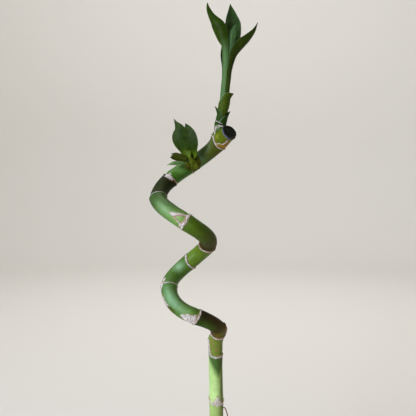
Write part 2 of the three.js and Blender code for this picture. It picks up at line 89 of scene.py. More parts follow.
def alongLine(line, distances):
    # centres and directions at distances along a dense line
    lengths = lengthsAlong(line)
    d = np.clip(distances, 0, lengths[-1])
    ahead, behind = np.clip(d + 0.15, 0, lengths[-1]), np.clip(d - 0.15, 0, lengths[-1])
    return lookUp(d, lengths, line), unit(lookUp(ahead, lengths, line) - lookUp(behind, lengths, line))


def carriedFrames(tangents, start=(0, -1, 0)):
    # a side direction carried along without twist, and the one square to it
    across = np.array(start, float)
    rows = []
    for tangent in tangents:
        across = unit(across - tangent * across.dot(tangent))
        rows.append(across)
    rows = np.array(rows)
    return rows, np.cross(tangents, rows)


def between(rows, column, t):
    # value between rows of [place, value, ...], on a smooth line through them
    rows = np.asarray(rows, float)
    last = len(rows) - 1
    place, value = rows[:, 0], rows[:, column]
    low, high = np.maximum(np.arange(last + 1) - 1, 0), np.minimum(np.arange(last + 1) + 1, last)
    slope = (value[high] - value[low]) / (place[high] - place[low])
    i = np.clip(np.searchsorted(place, t, side="left") - 1, 0, last - 1)
    span = place[i + 1] - place[i]
    x = np.clip((t - place[i]) / span, 0, 1)
    rise = (3 - 2 * x) * x * x
    ends = value[i] * (1 - rise) + value[i + 1] * rise
    return ends + slope[i] * span * x * (1 - x) ** 2 + slope[i + 1] * span * x * x * (x - 1)


def noiseAt(points, scale, seed=0):
    # smooth noise from -1 to 1, feature size 1/scale in mm
    return np.array([noise.noise(Vector(p)) for p in (np.asarray(points) * scale + seed).tolist()])


def circle(sides):
    return np.linspace(0, fullTurn, sides, endpoint=False)


def spokes(across, aside, angle):
    # directions all round each place along a line
    return across[:, None] * np.cos(angle)[None, :, None] + aside[:, None] * np.sin(angle)[None, :, None]


def fibrePlaces(angle, place, radius):
    # coordinates in mm that follow a stem's skin, for its fibres and flecks
    return np.stack([np.cos(angle) * radius + 0 * place, np.sin(angle) * radius + 0 * place, place], 2)


# small helpers: meshes

def makeMesh(name, points, faces):
    mesh = bpy.data.meshes.new(name)
    mesh.from_pydata(np.asarray(points).tolist(), [], [list(f) for f in faces])
    mesh.polygons.foreach_set("use_smooth", [True] * len(mesh.polygons))
    made = bpy.data.objects.new(name, mesh)
    bpy.context.scene.collection.objects.link(made)
    return made


def addPiece(name, points, faces, nodes=(), slotName=None, attributes={}):
    piece = makeMesh(name, np.asarray(points) * mm, faces)
    for key, values in attributes.items():
        values = np.asarray(values, float)
        kind, field = ("FLOAT_VECTOR", "vector") if values.ndim == 2 else ("FLOAT", "value")
        piece.data.attributes.new(key, kind, "POINT").data.foreach_set(field, values.ravel())
    piece.data.validate()
    piece.data.update()
    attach(piece, "root")
    if nodes:
        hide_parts(*nodes)
    return piece


def gridFaces(rows, sides, start=0):
    # quads between closed rows of points
    i, j = np.meshgrid(np.arange(rows - 1), np.arange(sides), indexing="ij")
    a, b = (i * sides + j).ravel() + start, (i * sides + (j + 1) % sides).ravel() + start
    return np.stack([a, b, b + sides, a + sides], 1).tolist()


def tubeFaces(rows, sides, start=0):
    # quads of a tube, and a fan at each end whose middle points come after the rows
    faces = gridFaces(rows, sides, start)
    low, last = rows * sides + start, start + (rows - 1) * sides
    for k in range(sides):
        n = (k + 1) % sides
        faces += [[start + n, start + k, low], [last + k, last + n, low + 1]]
    return faces


def turnedRings(profile, sides):
    # a profile of (radius, height) turned about the upright axis
    return np.array([[(r * math.cos(a), r * math.sin(a), z) for a in circle(sides)] for r, z in profile])


def withMiddles(rings):
    # the rings' points, then the middle of the first and the last ring
    return np.vstack([rings.reshape(-1, 3), rings[0].mean(0), rings[-1].mean(0)])


def spread(values):
    # one value a ring point, then the two middles' values
    return np.concatenate([values.ravel(), [values[0].mean(), values[-1].mean()]])


# small helpers: materials

def linear(code):
    # sRGB hex to Blender's linear colour
    channels = [int(code[i:i + 2], 16) / 255 for i in (1, 3, 5)]
    return tuple(c / 12.92 if c <= 0.04045 else ((c + 0.055) / 1.055) ** 2.4 for c in channels) + (1,)


def connect(sockets, values):
    # each value is another node's output, a hex colour or plain numbers
    for key, value in values.items():
        if isinstance(value, bpy.types.NodeSocket):
            sockets[key].id_data.links.new(value, sockets[key])
        else:
            sockets[key].default_value = linear(value) if isinstance(value, str) else value


def newMaterial(name):
    # gives a function that adds a node, and one that sets the shader and gives the material
    material = bpy.data.materials.new(name)
    material.use_nodes = True

    def add(kind, inputs={}, output=None, **settings):
        # a node with its settings and links; gives the output named, or else the first in use
        node = material.node_tree.nodes.new("ShaderNode" + kind)
        for key, value in settings.items():
            setattr(node, key, value)
        connect(node.inputs, inputs)
        return node.outputs[output] if output else next(o for o in node.outputs if o.enabled)

    def finish(**values):
        # socket names with _ for each space
        shader = material.node_tree.nodes["Principled BSDF"]
        connect(shader.inputs, {key.replace("_", " "): value for key, value in values.items()})
        return material

    return add, finish


# camera: level with the plant, at the photograph's angle

cameraSet = {
    "place": (-7.65, -450, 332.2),   # mm
    "frameWidth": 374.4,               # mm seen across at the cane
    "pixel": 0.9, "middle": 208,       # mm for a pixel at the cane, and the photograph's middle pixel
    "sensor": 36,
}

camera = bpy.data.objects.new("camera", bpy.data.cameras.new("camera"))
bpy.context.scene.collection.objects.link(camera)
camera.location = Vector(cameraSet["place"]) * mm
camera.rotation_euler = (math.radians(90), 0, 0)
camera.data.sensor_width = cameraSet["sensor"]
camera.data.lens = cameraSet["sensor"] * -cameraSet["place"][1] / cameraSet["frameWidth"]
camera.data.clip_start, camera.data.clip_end = 0.01, 20
bpy.context.scene.camera = camera
bpy.context.scene.view_settings.view_transform = "Standard"
print("camera placed")


# cane: one stem, straight below and trained into a spiral above

cane = {
    "straightX": (0.7, -0.6), "straightZ": (14.3, 211),   # from the bottom to the first bend
    "straightRadius": 6.3, "spiralRadius": 7.5, "swellFrom": 185, "swellTo": 325,
    # far right and far left of each half turn: x, z, and how much slower the cane climbs through its ends
    "turns": [(3.3, 218.3, 0.37), (-42.6, 262.1, -0.18), (-6.9, 302.1, -0.14), (-52.3, 342, 0), (16.7, 414.1, 0)],
    "end": [(-6.7, 32.6, 386.2), (-2.7, 31, 389.6), (1.6, 28.4, 393.7),
            (5.6, 25, 397.6), (8.7, 21.1, 400.1), (11.6, 17, 402.1)],
    "cutNormal": (0.48, -0.77, 0.42),
    "thickFrom": 210, "fibreRadius": 7, "cutReach": 8,
    "step": 1.2, "fineStep": 0.3, "sides": 88,   # mm between rows, mm at rings and scars, points round
    "ringReach": 3.4,                            # fine rows this far to each side of a ring
    "fineParts": [(164, 186, 2), (522, 560, 1.5)],   # the tongue and the top bud, in fine steps
    "trim": 0.976,                     # keeps the round skin inside the faceted solid
}

# growth rings: distance along, climb towards each axis, rind colours just above the ring and under the next
# one, width of the papery line in mm, wander of the line
# the dark spans above 208.7 and 348, and the top of the one above 394, are partly their own rind, partly painted
# shade
rings = [
    (52, (0, 1, 0), "#b3cf84", "#a6c276", 0.75, 0.3),
    (99, (1, 1, 0), "#aac67c", "#9cb86c", 0.75, 0.3),
    (146, (-1, 3, 0), "#b4d48a", "#a4c676", 0.8, 0.4),
    (186, (0, 1, 0), "#6e8032", "#6e7c2c", 0.85, 0.3),
    (208.7, (0, 1, 0), "#44360a", "#241c03", 0.8, 0.25),
    (242.3, (0, 0, -1), "#466618", "#476c2c", 0.6, 0.25),
    (287, (0, 1, -2), "#486f24", "#46691e", 0.4, 0.4),
    (322, (0, 2, 0), "#587820", "#566c18", 1.05, 0.35),
    (348, (1, -1, -2), "#332a04", "#46620e", 0.8, 0.3),
    (394, (0, -1, 0), "#5f8438", "#2b4a0c", 0.8, 0.3),
    (436, (1, 2, -2), "#242e04", "#1b2302", 0.55, 0.3),
    (469, (0, 3, -1), "#40701f", "#386010", 0.6, 0.5),
    (493, (0, 2, -1), "#3f6420", "#434806", 0.55, 0.5),
    (530.6, (0, 0, 0.5), "#5c6a0a", "#566208", 0.5, 0.6),
]
# local lifts of a ring's line: side, mm, reach in radians
ringLifts = {
    186: ((-1, -0.1, 0), 14, 0.5),
    208.7: ((1, 0.05, 0.15), 8, 0.42),
    287: ((0.4, -0.9, 0), -1.4, 0.9),
    322: ((-0.5, -0.4, 0.75), 2.6, 0.7),
    348: ((0.1, -1, 0), -1.4, 0.5),
    530.6: ((-0.77, -0.58, 0.27), 2.2, 0.6),
}
ringAt = np.array([ring[0] for ring in rings], float)
ringShape = {"ridge": 0.3, "width": 1.2, "groove": 0.3, "swell": 0.35, "swellLength": 7, "hold": 1.8,
             "rim": 0.42}

# resting buds and shoulders: place, side, height, length, breadth
mounds = [
    (399.5, (0, -1, 0.05), 1, 4.5, 3.4), (150, (0.2, -1, 0), 0.6, 3.5, 2.8),
    (248, (-0.3, -0.8, -0.5), 0.6, 4.5, 3), (495, (-0.15, -0.92, 0.35), 0.9, 6, 5),
    (536, (-0.75, -0.05, 0.66), 2.5, 6, 6),
]
topSwell = {"at": 534, "height": 0.8, "length": 8}


def caneLine():
    x, z = (np.linspace(*cane[key], 5) for key in ("straightX", "straightZ"))
    points = [(x[i], 0, z[i]) for i in range(5)]
    turns, halfTurnSteps = cane["turns"], 8
    for n in range(len(turns) - 1):
        (x0, z0, ease), (x1, z1, _) = turns[n], turns[n + 1]
        middle, radius, side = (x0 + x1) / 2, (x0 - x1) / 2, -1 if n % 2 == 0 else 1
        steps = halfTurnSteps // 2 if n == len(turns) - 2 else halfTurnSteps
        for i in range(1, steps + 1):
            t = i / halfTurnSteps
            climb = t + ease * math.sin(fullTurn * t) / fullTurn
            points.append((middle + radius * math.cos(math.pi * t),
                           side * abs(radius) * math.sin(math.pi * t), z0 + (z1 - z0) * climb))
    return curveThrough(points + cane["end"])


def turnFrom(outward, side):
    return np.arccos(np.clip(outward @ unit(side), -1, 1))


def ringClimb(at, slant, outward):
    # how far past its place a ring's line lies, towards each side
    climb = outward @ np.array(slant, float)
    if at in ringLifts:
        side, height, reach = ringLifts[at]
        climb = climb + height * bell(turnFrom(outward, side) / reach)
    return climb


def caneRadius(s, outward):
    grown = smooth((s - cane["swellFrom"]) / (cane["swellTo"] - cane["swellFrom"]))
    radius = cane["straightRadius"] + (cane["spiralRadius"] - cane["straightRadius"]) * grown
    for at, slant, *_ in rings:
        x = s - at - ringClimb(at, slant, outward)
        radius = radius + ringShape["ridge"] * bell(x / ringShape["width"])
        radius = radius - ringShape["groove"] * bell((x - 2 * ringShape["width"]) / ringShape["width"])
        radius = radius + ringShape["swell"] * bell(x / ringShape["swellLength"])
    for at, towards, height, length, breadth in mounds:
        turned = turnFrom(outward, towards) * radius
        radius = radius + height * bell((s - at) / length) * bell(turned / breadth)
    return radius + topSwell["height"] * bell((s - topSwell["at"]) / topSwell["length"])


def polygonDistance(x, y, corners):
    # signed distance to a polygon, below 0 inside
    inside = np.zeros(x.shape, bool)
    nearest = np.full(x.shape, 1e9)
    for (x0, y0), (x1, y1) in zip(corners, corners[1:] + corners[:1]):
        dx, dy = x1 - x0, y1 - y0
        t = np.clip(((x - x0) * dx + (y - y0) * dy) / (dx * dx + dy * dy), 0, 1)
        nearest = np.minimum(nearest, np.hypot(x - x0 - t * dx, y - y0 - t * dy))
        crosses = (y0 > y) != (y1 > y)
        inside ^= crosses & (x < x0 + dx * (y - y0) / (dy if dy else 1e-9))
    return np.where(inside, -nearest, nearest)


caneCentre = caneLine()
caneLength = lengthsAlong(caneCentre)[-1]

# papery scars where sheaths came away: corners as distance along, outward direction
scars = [
    [(149.6, 0.2, -0.98, 0), (146.3, -0.3, -0.93, 0), (144.2, -0.5, -0.86, 0), (142, 0.1, -1, 0),
     (144.4, 0.75, -0.66, 0), (147.2, 0.55, -0.8, 0)],
    [(254.5, -0.47, -0.83, -0.29), (249.5, -0.1, -0.98, 0.1), (243.6, 0.2, -0.93, 0.33),
     (243.2, -0.2, -0.85, -0.5), (245.2, -0.37, -0.22, -0.9), (250, -0.45, -0.55, -0.7)],
    [(289.6, -0.35, -0.4, 0.85), (287, -0.58, -0.45, 0.67), (284.8, -0.7, -0.46, 0.55),
     (282.6, -0.86, -0.4, 0.3), (281.8, -0.97, -0.1, 0.2), (286, -0.9, 0.2, 0.4), (291, -0.55, 0.1, 0.8)],
    [(277, -0.86, -0.48, 0.15), (274.5, -0.8, -0.6, 0), (270.5, -0.8, -0.58, -0.13),
     (265.6, -0.7, -0.7, -0.1), (264.5, -0.8, -0.55, -0.25), (270.5, -0.9, -0.36, -0.22),
     (274.5, -0.94, -0.28, -0.15)],
    [(264, -0.72, -0.3, -0.6), (259.5, -0.66, -0.34, -0.66), (255, -0.5, -0.4, -0.75),
     (256, -0.6, -0.1, -0.8), (262, -0.75, -0.05, -0.66)],
    [(408.6, -0.25, -0.95, 0.17), (404.4, 0, -0.95, 0.3), (400.6, 0.26, -0.84, 0.5),
     (395.2, 0.5, -0.56, 0.67), (394.2, 0.1, -0.98, 0.1), (394.4, -0.42, -0.6, -0.7),
     (397.6, -0.42, -0.68, -0.6), (398.2, -0.3, -0.88, -0.36), (403.5, -0.32, -0.93, -0.1)],
    [(470.4, 0, -0.55, 0.83), (463.2, -0.25, -0.5, 0.8), (461.8, 0.3, -0.7, 0.6),
     (463, 0.74, -0.64, 0.2), (466.6, 0.7, -0.65, 0.3), (467.6, 0.35, -0.7, 0.62)],
]
# a bud's green eye inside the large scar, with a rosy rim
eye = [(403.6, -0.2, -0.98, -0.02), (401.2, 0.08, -0.98, 0.2), (397, 0.33, -0.84, 0.43),
       (396, 0.1, -0.98, 0.12), (397.2, -0.2, -0.94, -0.28)]
# dry brown spots: distance along, direction, size in mm
spots = [(200.8, (-0.62, -0.75, -0.21), 1.1), (198.4, (-0.55, -0.82, -0.2), 0.9), (197, (-0.43, -0.87, -0.24), 0.7),
         (192.6, (0.11, -0.98, -0.15), 1.1), (467.2, (0.79, -0.61, -0.05), 1.4), (150.6, (0.2, -0.98, 0), 0.8),
         (289.5, (-0.93, -0.2, 0.3), 0.9), (206, (-0.2, -0.95, 0.1), 0.6)]
# tinted patches of rind: distance along, direction, length and breadth in mm, colour, strength
# many of these patches are painted highlights and painted shade, marked below
patches = [
    (213, (0.3, -0.9, 0), 4, 9, "#66621a", 0.8),           # painted highlight: a soft olive glow above the third ring in view
    (399.6, (0.05, -0.98, 0.1), 5, 4, "#92b66c", 0.85),     # pale middle of the scar's eye
    (403, (-0.35, -0.85, -0.4), 9, 4, "#6f9a4c", 0.4),     # pale rind beside the scar
    (251, (-0.2, -0.95, 0.2), 5, 6, "#7da760", 0.6),
    (533.5, (-0.1, -0.75, -0.65), 1.8, 4, "#8a6412", 0.75),   # dried amber rind above the last ring
    (535, (0.4, -0.45, -0.8), 3.2, 4, "#a87e1e", 0.95),
    (541, (0.4, -0.21, -0.89), 5, 3.5, "#8a5e16", 0.95),     # and under the seal
    (535, (-0.85, 0.35, 0.4), 4, 6, "#3a5822", 0.9),         # dark rind behind the top bud
    (541, (-0.75, -0.3, 0.6), 3, 2.6, "#2f5420", 0.7),       # darker green round the top bud
    (538.5, (-0.72, -0.6, 0), 2.4, 2, "#86901c", 0.7),
    (541.5, (-0.6, -0.75, -0.2), 1.6, 1.2, "#3a4a08", 0.6),
    (537.5, (-0.35, -0.85, -0.3), 2.6, 3, "#37540a", 0.6),
    # painted highlights in pale grey-green, for the broad soft highlight on the bends' outer sides
    (268, (-0.25, -0.8, 0.5), 13, 4.4, "#8cb88e", 0.78),
    (309.5, (-0.1, -0.84, 0.52), 6, 4.2, "#92bd94", 0.8),
    (332, (-0.6, -0.6, 0.5), 5, 5, "#6c8f38", 0.3),
    (414, (-0.4, -0.9, 0.2), 11, 4.6, "#8fb684", 0.6),
    (482, (0.1, -0.9, 0.4), 6, 4.5, "#74a45a", 0.75),
    (518, (-0.55, -0.7, 0.4), 11, 4, "#6f8c5a", 0.5),
    (505, (-0.1, -0.97, 0.1), 5, 4.5, "#86b094", 0.85),
    # painted shade: deeper green behind them and on the side turned from the light
    (413, (0.25, -0.45, 0.85), 12, 4, "#2f4f10", 0.65),
    (426, (-0.95, -0.2, 0.2), 7, 6, "#2f4d12", 0.6),
    (283, (-0.95, 0, -0.2), 10, 5, "#3d5f1c", 0.5),
    (160, (0.82, -0.57, 0), 30, 2.6, "#4a5a1e", 0.9),      # shaded right edge of the straight part
    (110, (0.92, -0.4, 0), 30, 2.6, "#4a5a1e", 0.85),
    (64, (0.97, -0.25, 0), 26, 2.6, "#4a5a1e", 0.8),
    (234, (-0.25, -0.8, -0.5), 10, 5.5, "#36580c", 0.8),   # green underside of the first bend
    # painted shade: dark olive on the right side of the span above the ring at 348
    (355, (0.9, -0.3, 0), 12, 8, "#4d4a10", 0.6),
]


# how colours and paper lie on the cane: places and fades in mm, the rest shares of 1
skin = {
    "tongue": "#44632c", "tongueTip": 166.3, "tongueTurn": 0.37, "tongueSlope": 10.2, "tongueFade": 12,
    "tongueRings": (146, 186),               # a dark tongue runs down the front between these rings
    "spiralFrom": 180, "spiralFade": 30,     # the spiral is mottled more than the straight part
    "scarReach": 14, "eyeReach": 9, "scarLift": 0.16, "eyeSink": 0.15,
}


def onSkin(s, outward, corners):
    # skin coordinates in mm round the corners' middle, and the corners in them
    midS = sum(c[0] for c in corners) / len(corners)
    midOut = unit(np.sum([unit(c[1:]) for c in corners], axis=0))
    tangent = alongLine(caneCentre, np.array([midS]))[1][0]
    midOut = unit(midOut - tangent * midOut.dot(tangent))
    aside = np.cross(tangent, midOut)
    radius = cane["spiralRadius"] if midS > cane["thickFrom"] else cane["straightRadius"]
    turned = lambda out: np.arctan2(out @ aside, out @ midOut) * radius
    return s - midS, turned(outward), [(c[0] - midS, float(turned(unit(c[1:])))) for c in corners]


def caneRows():
    # distances along: close rows at rings and scars, wider ones between
    fine, reach = cane["fineStep"], cane["ringReach"]
    fineParts = [(at - reach, at + reach, 1) for at in ringAt]
    fineParts += [(min(c[0] for c in scar) - 1, max(c[0] for c in scar) + 1, 1.4) for scar in scars]
    fineParts += cane["fineParts"]
    rows = [0]
    while rows[-1] < caneLength - fine:
        here = rows[-1]
        rows.append(here + min([factor * fine for low, high, factor in fineParts if low <= here <= high]
                               + [cane["step"]]))
    rows[-1] = caneLength
    return np.array(rows)


def spanColours(s):
    # rind colours from just above each ring to just under the next one
    below = np.clip(np.searchsorted(ringAt, s, side="right") - 1, 0, len(rings) - 1)
    spans = np.append(ringAt[1:], caneLength + 1) - ringAt
    t = smooth((s - ringAt[below]) / spans[below])[:, None]
    low, high = (np.array([linear(ring[k])[:3] for ring in rings])[below] for k in (2, 3))
    return low * (1 - t) + high * t


def tinted(rind, code, share):
    return rind + (np.array(linear(code)[:3]) - rind) * share[:, :, None]


def buildCane():
    s = caneRows()
    centre, along = alongLine(caneCentre, s)
    angle = circle(cane["sides"])
    outward = spokes(*carriedFrames(along), angle)
    hold = ringShape["hold"]
    near = np.abs(s[:, None] - ringAt).argmin(1)
    # each row leans as the rings do: held close to a ring, drawn straight from one to the next
    stops = np.concatenate([[0], np.stack([ringAt - hold, ringAt + hold], 1).ravel(), [caneLength]])
    upright = 0 * outward[:, :, 0]
    climbs = [ringClimb(at, slant, outward) for at, slant, *_ in rings]
    leans = np.stack([upright] + [climb for climb in climbs for _ in range(2)] + [upright])
    after = np.clip(np.searchsorted(stops, s, side="right"), 1, len(stops) - 1)
    part = ((s - stops[after - 1]) / (stops[after] - stops[after - 1]))[:, None]
    rowOf = np.arange(len(s))
    shift = leans[after - 1, rowOf] * (1 - part) + leans[after, rowOf] * part
    place = s[:, None] + shift                       # true distance along, at each point
    fibre = fibrePlaces(angle, place, cane["fibreRadius"])
    rough, fine, long = (
        noiseAt(fibre.reshape(-1, 3), np.array(size), seed).reshape(place.shape)
        for size, seed in (((0.35, 0.35, 0.5), 0), ((1.1, 1.1, 0.9), 31), ((0.9, 0.9, 0.05), 7)))

    # the papery line, narrow and wide by turns, and its brown upper side
    line, wander = (np.array([ring[k] for ring in rings])[near][:, None] for k in (4, 5))
    climb = np.stack(climbs)[near, rowOf]
    steep = (np.roll(climb, -1, 1) - np.roll(climb, 1, 1)) / (2 * (angle[1] - angle[0]) * cane["straightRadius"])
    line = line * (1 + 0.35 * rough + 0.25 * fine)
    x = ((s - ringAt[near])[:, None] + wander * rough) / np.sqrt(1 + steep * steep)
    rim = np.exp(-np.power(x / np.maximum(line, 0.25), 4))
    brown = bell((x - line - 0.35) / 0.4) * smooth(0.5 + 1.1 * rough)

    # rind colours, the tongue and the tinted patches with their painted highlights and shade
    onSpiral = smooth((place - skin["spiralFrom"]) / skin["spiralFade"])
    mottle = 1 + (0.12 * rough + 0.1 * long) * (0.35 + 0.65 * onSpiral)
    rind = spanColours(s)[:, None] * mottle[:, :, None]
    frontTurned = np.arctan2(outward[:, :, 0], -outward[:, :, 1])
    tongueEnd = skin["tongueTip"] + skin["tongueSlope"] * np.abs(frontTurned - skin["tongueTurn"]) + 0.8 * long
    lowRing, highRing = skin["tongueRings"]
    inSpan = (s[:, None] < highRing) * (s[:, None] > lowRing)
    rind = tinted(rind, skin["tongue"], smooth((place - tongueEnd) / skin["tongueFade"] + 0.45) * inSpan)
    for at, direction, length, breadth, code, strength in patches:
        u, v, _ = onSkin(place, outward, [(at, *direction)])
        share = strength * bell(u / length + 0.25 * rough) * bell(v / breadth + 0.25 * fine)
        rind = tinted(rind, code, share)

    # scars, the bud's eye inside the large one, and brown spots
    scar = np.zeros_like(place)
    for corners in scars:
        u, v, flatCorners = onSkin(place, outward, corners)
        distance = polygonDistance(u, v, flatCorners) + 0.6 * rough + 0.75 * fine
        close = np.abs(u) < skin["scarReach"]
        scar = np.maximum(scar, smooth((0.3 - distance) / 0.5) * close)
        brown = np.maximum(brown, 0.5 * bell((distance - 0.3) / 0.35) * close * (rough > -0.1))
    u, v, flatCorners = onSkin(place, outward, eye)
    distance = polygonDistance(u, v, flatCorners) + 0.15 * fine
    close = np.abs(u) < skin["eyeReach"]
    inEye = smooth((0.1 - distance) / 0.5) * close
    scar = scar * (1 - inEye)
    brown = np.maximum(brown * (1 - inEye), 0.9 * bell((distance - 0.1) / 0.42) * close)
    for at, direction, size in spots:
        u, v, _ = onSkin(place, outward, [(at, *direction)])
        close = np.abs(u) < skin["eyeReach"]
        brown = np.maximum(brown, smooth((size - np.hypot(u * 0.8, v) + 0.6 * fine) / 0.5) * close)

    radius = caneRadius(place, outward) * cane["trim"] + ringShape["rim"] * rim * (0.75 + 0.35 * fine)
    radius = radius + skin["scarLift"] * scar * (1 + 1.2 * fine) - skin["eyeSink"] * inEye
    radius = radius + 0.05 * long + 0.05 * rough
    points = centre[:, None] + outward * radius[:, :, None] + along[:, None] * shift[:, :, None]
    # the cut end lies in its own plane
    cutNormal = unit(cane["cutNormal"])
    offCut = ((points - centre[-1]) @ cutNormal)[-1] / (along[-1] @ cutNormal)
    drawn = smooth((s - caneLength) / cane["cutReach"] + 1)
    points = points - along[:, None] * (drawn[:, None] * offCut[None])[:, :, None]
    return addPiece("cane", withMiddles(points), tubeFaces(len(s), cane["sides"]), ["cane"], "cane_skin", {
        "rind": withMiddles(np.clip(rind, 0, 1)), "paper": spread(np.clip(np.maximum(rim, scar), 0, 1)),
        "brown": spread(np.clip(brown, 0, 1)), "fibre": withMiddles(fibre)})


# Living cane skin: a waxy green rind with lengthwise fibres, pale below, dark on the spiral; the rings and
# scars are dry pinkish-white paper with brown edges
def caneSkinMaterial():
    add, finish = newMaterial("livingCaneSkin")
    look = {
        "paperPale": "#dcd3d4", "paperDark": "#6e6157", "brown": "#8a4e2c", "rosy": "#a0725c", "fleck": "#c9d8b4",
        "fibreScale": 1.6, "mottleScale": 0.28, "crumbScale": 1.25,   # a fibre every 0.6 mm, crumbs of 0.8 mm
        "roughness": 0.42, "dull": 0.3,
    }
    # the rind attribute carries the painted highlights and shade of the patches and the ring colours
    fibre, rind = (add("Attribute", output="Vector", attribute_name=n) for n in ("fibre", "rind"))
    paper, brown = (add("Attribute", output="Fac", attribute_name=n) for n in ("paper", "brown"))
    stretched = add("VectorMath", {0: fibre, 1: (1, 1, 0.06)}, operation="MULTIPLY")
    grain = add("TexNoise", {"Vector": stretched, "Scale": look["fibreScale"], "Detail": 4})
    mottle = add("TexNoise", {"Vector": fibre, "Scale": look["mottleScale"], "Detail": 3})
    crumb = add("TexNoise", {"Vector": fibre, "Scale": look["crumbScale"], "Detail": 5, "Roughness": 0.65})
    # fibres and blotches lighten and darken the rind
    shade = add("Math", {0: grain, 1: 0.5, 2: 0.55}, operation="MULTIPLY_ADD")
    shade = add("Math", {0: mottle, 1: 0.4, 2: shade}, operation="MULTIPLY_ADD")
    shaded = add("VectorMath", {0: rind, "Scale": shade}, operation="SCALE")
    fleck = add("MapRange", {0: crumb, 1: 0.68, 2: 0.76, 4: 0.3})
    flecked = add("Mix", {0: fleck, 6: shaded, 7: look["fleck"]}, data_type="RGBA")
    paperGrain = add("MapRange", {0: crumb, 1: 0.44, 2: 0.66})
    paperTone = add("Mix", {0: paperGrain, 6: look["paperPale"], 7: look["paperDark"]}, data_type="RGBA")
    brownTone = add("Mix", {0: mottle, 6: look["brown"], 7: look["rosy"]}, data_type="RGBA")
    # the rind shows where the paper has crumbled
    worn = add("MapRange", {0: crumb, 1: 0.55, 2: 0.63, 3: 1, 4: 0.4})
    paperShare = add("Math", {0: paper, 1: worn}, operation="MULTIPLY")
    withPaper = add("Mix", {0: paperShare, 6: flecked, 7: paperTone}, data_type="RGBA")
    brownShare = add("Math", {0: brown, 1: 0.95}, operation="MULTIPLY")
    colour = add("Mix", {0: brownShare, 6: withPaper, 7: brownTone}, data_type="RGBA")
    dry = add("Math", {0: paper, 1: brown}, operation="MAXIMUM")
    gloss = add("Math", {0: dry, 1: 0.5, 2: look["roughness"]}, operation="MULTIPLY_ADD")
    # old dark rind is duller than the pale young one
    green = add("SeparateXYZ", {"Vector": rind}, "Y")
    dull = add("MapRange", {0: green, 1: 0.015, 2: 0.1, 3: look["dull"], 4: 0})
    gloss = add("Math", {0: gloss, 1: dull}, operation="ADD")
    relief = add("Math", {0: crumb, 1: dry}, operation="MULTIPLY")
    relief = add("Math", {0: grain, 1: 0.25, 2: relief}, operation="MULTIPLY_ADD")
    bump = add("Bump", {"Height": relief, "Strength": 0.35, "Distance": 0.0004})
    return finish(Base_Color=colour, Roughness=gloss, Normal=bump, IOR=1.4, Specular_IOR_Level=0.22)


canePiece = buildCane()
canePiece.data.materials.append(caneSkinMaterial())
print("cane grown")


# wax seal over the cane's cut end

wax = {
    # the lip's lit side, where the painted lavender-grey sheen lies
    "gap": 0.3, "sides": 120, "sheenSide": math.radians(208), "highest": 1.75,
    # half the section, as radius and height: under face, rounded lip, and a top that sags inside the lip
    "section": [(0.2, 0), (6.6, 0), (7.6, 0.15), (7.88, 0.75), (7.6, 1.45), (6.9, 1.66), (6.1, 1.35), (4.6, 1.15),
                (2.5, 1.3), (0.2, 1.35)],
    # waves of its outline: share of the radius, waves round, phase
    "waves": [(0.022, 3, 0.5), (0.014, 7, 2), (0.01, 13, 0)],
}


def buildSeal():
    normal = unit(cane["cutNormal"])
    centre = caneCentre[-1] + normal * wax["gap"]
    side = unit(np.cross((0, 0, 1), normal))
    up = np.cross(normal, side)
    angle = circle(wax["sides"])
    flat = np.cos(angle)[:, None] * side + np.sin(angle)[:, None] * up
    uneven = 0.03 * bell((angle - 4.5) / 0.6) - 0.03
    uneven = uneven + sum(share * np.sin(n * angle + phase) for share, n, phase in wax["waves"])
    lit = smooth(2.2 * np.cos(angle - wax["sheenSide"]) - 0.9)
    sections, rim = [], []
    for r, h, _ in curveThrough([(r, h, 0) for r, h in wax["section"]], 9):
        reach = (r * (1 + uneven * min(r / 6, 1)))[:, None] * flat
        lumps = noiseAt(reach, 0.55, 5) * 0.3 + noiseAt(reach, 1.5, 9) * 0.14
        height = h + lumps * (h > 0.8) + 0.12 * np.sin(5 * angle + 1.2) * smooth((r - 3) / 4) * (h > 0.5)
        sections.append(centre + reach + np.clip(height, 0, wax["highest"])[:, None] * normal)
        # painted sheen: the lip's rim mask is strong on its lit side
        rim.append(bell((r - 7.75) / 0.5) * (h > 0.2) * (0.06 + 0.94 * lit))
    return addPiece("cut_seal", withMiddles(np.array(sections)), tubeFaces(len(sections), wax["sides"]), ["cut_seal"],
                    "wax", {"rim": spread(np.array(rim))})


# Sealing wax: near black with a green cast, lumpy, dull in the middle, with a painted lavender-grey sheen on the lit
# side of its lip
def waxMaterial():
    add, finish = newMaterial("sealingWax")
    # the lavender-grey colour is a painted sheen on the lip's lit side
    look = {"body": "#040a03", "dust": "#121a0c", "lipSheen": "#586070", "lumpScale": 520}   # lumps of 2 mm
    rim = add("Attribute", output="Fac", attribute_name="rim")
    place = add("TexCoord", output="Object")
    lumps = add("TexNoise", {"Vector": place, "Scale": look["lumpScale"], "Detail": 5})
    spotty = add("MapRange", {0: lumps, 1: 0.45, 2: 0.7})
    body = add("Mix", {0: spotty, 6: look["body"], 7: look["dust"]}, data_type="RGBA")
    share = add("Math", {0: rim, 1: 1.15}, operation="MULTIPLY", use_clamp=True)
    colour = add("Mix", {0: share, 6: body, 7: look["lipSheen"]}, data_type="RGBA")
    bump = add("Bump", {"Height": lumps, "Strength": 0.7, "Distance": 0.0006})
    return finish(Base_Color=colour, Roughness=0.5, Normal=bump, IOR=1.45, Specular_IOR_Level=0.2)


buildSeal().data.materials.append(waxMaterial())
print("cut end sealed")


# shoot stems

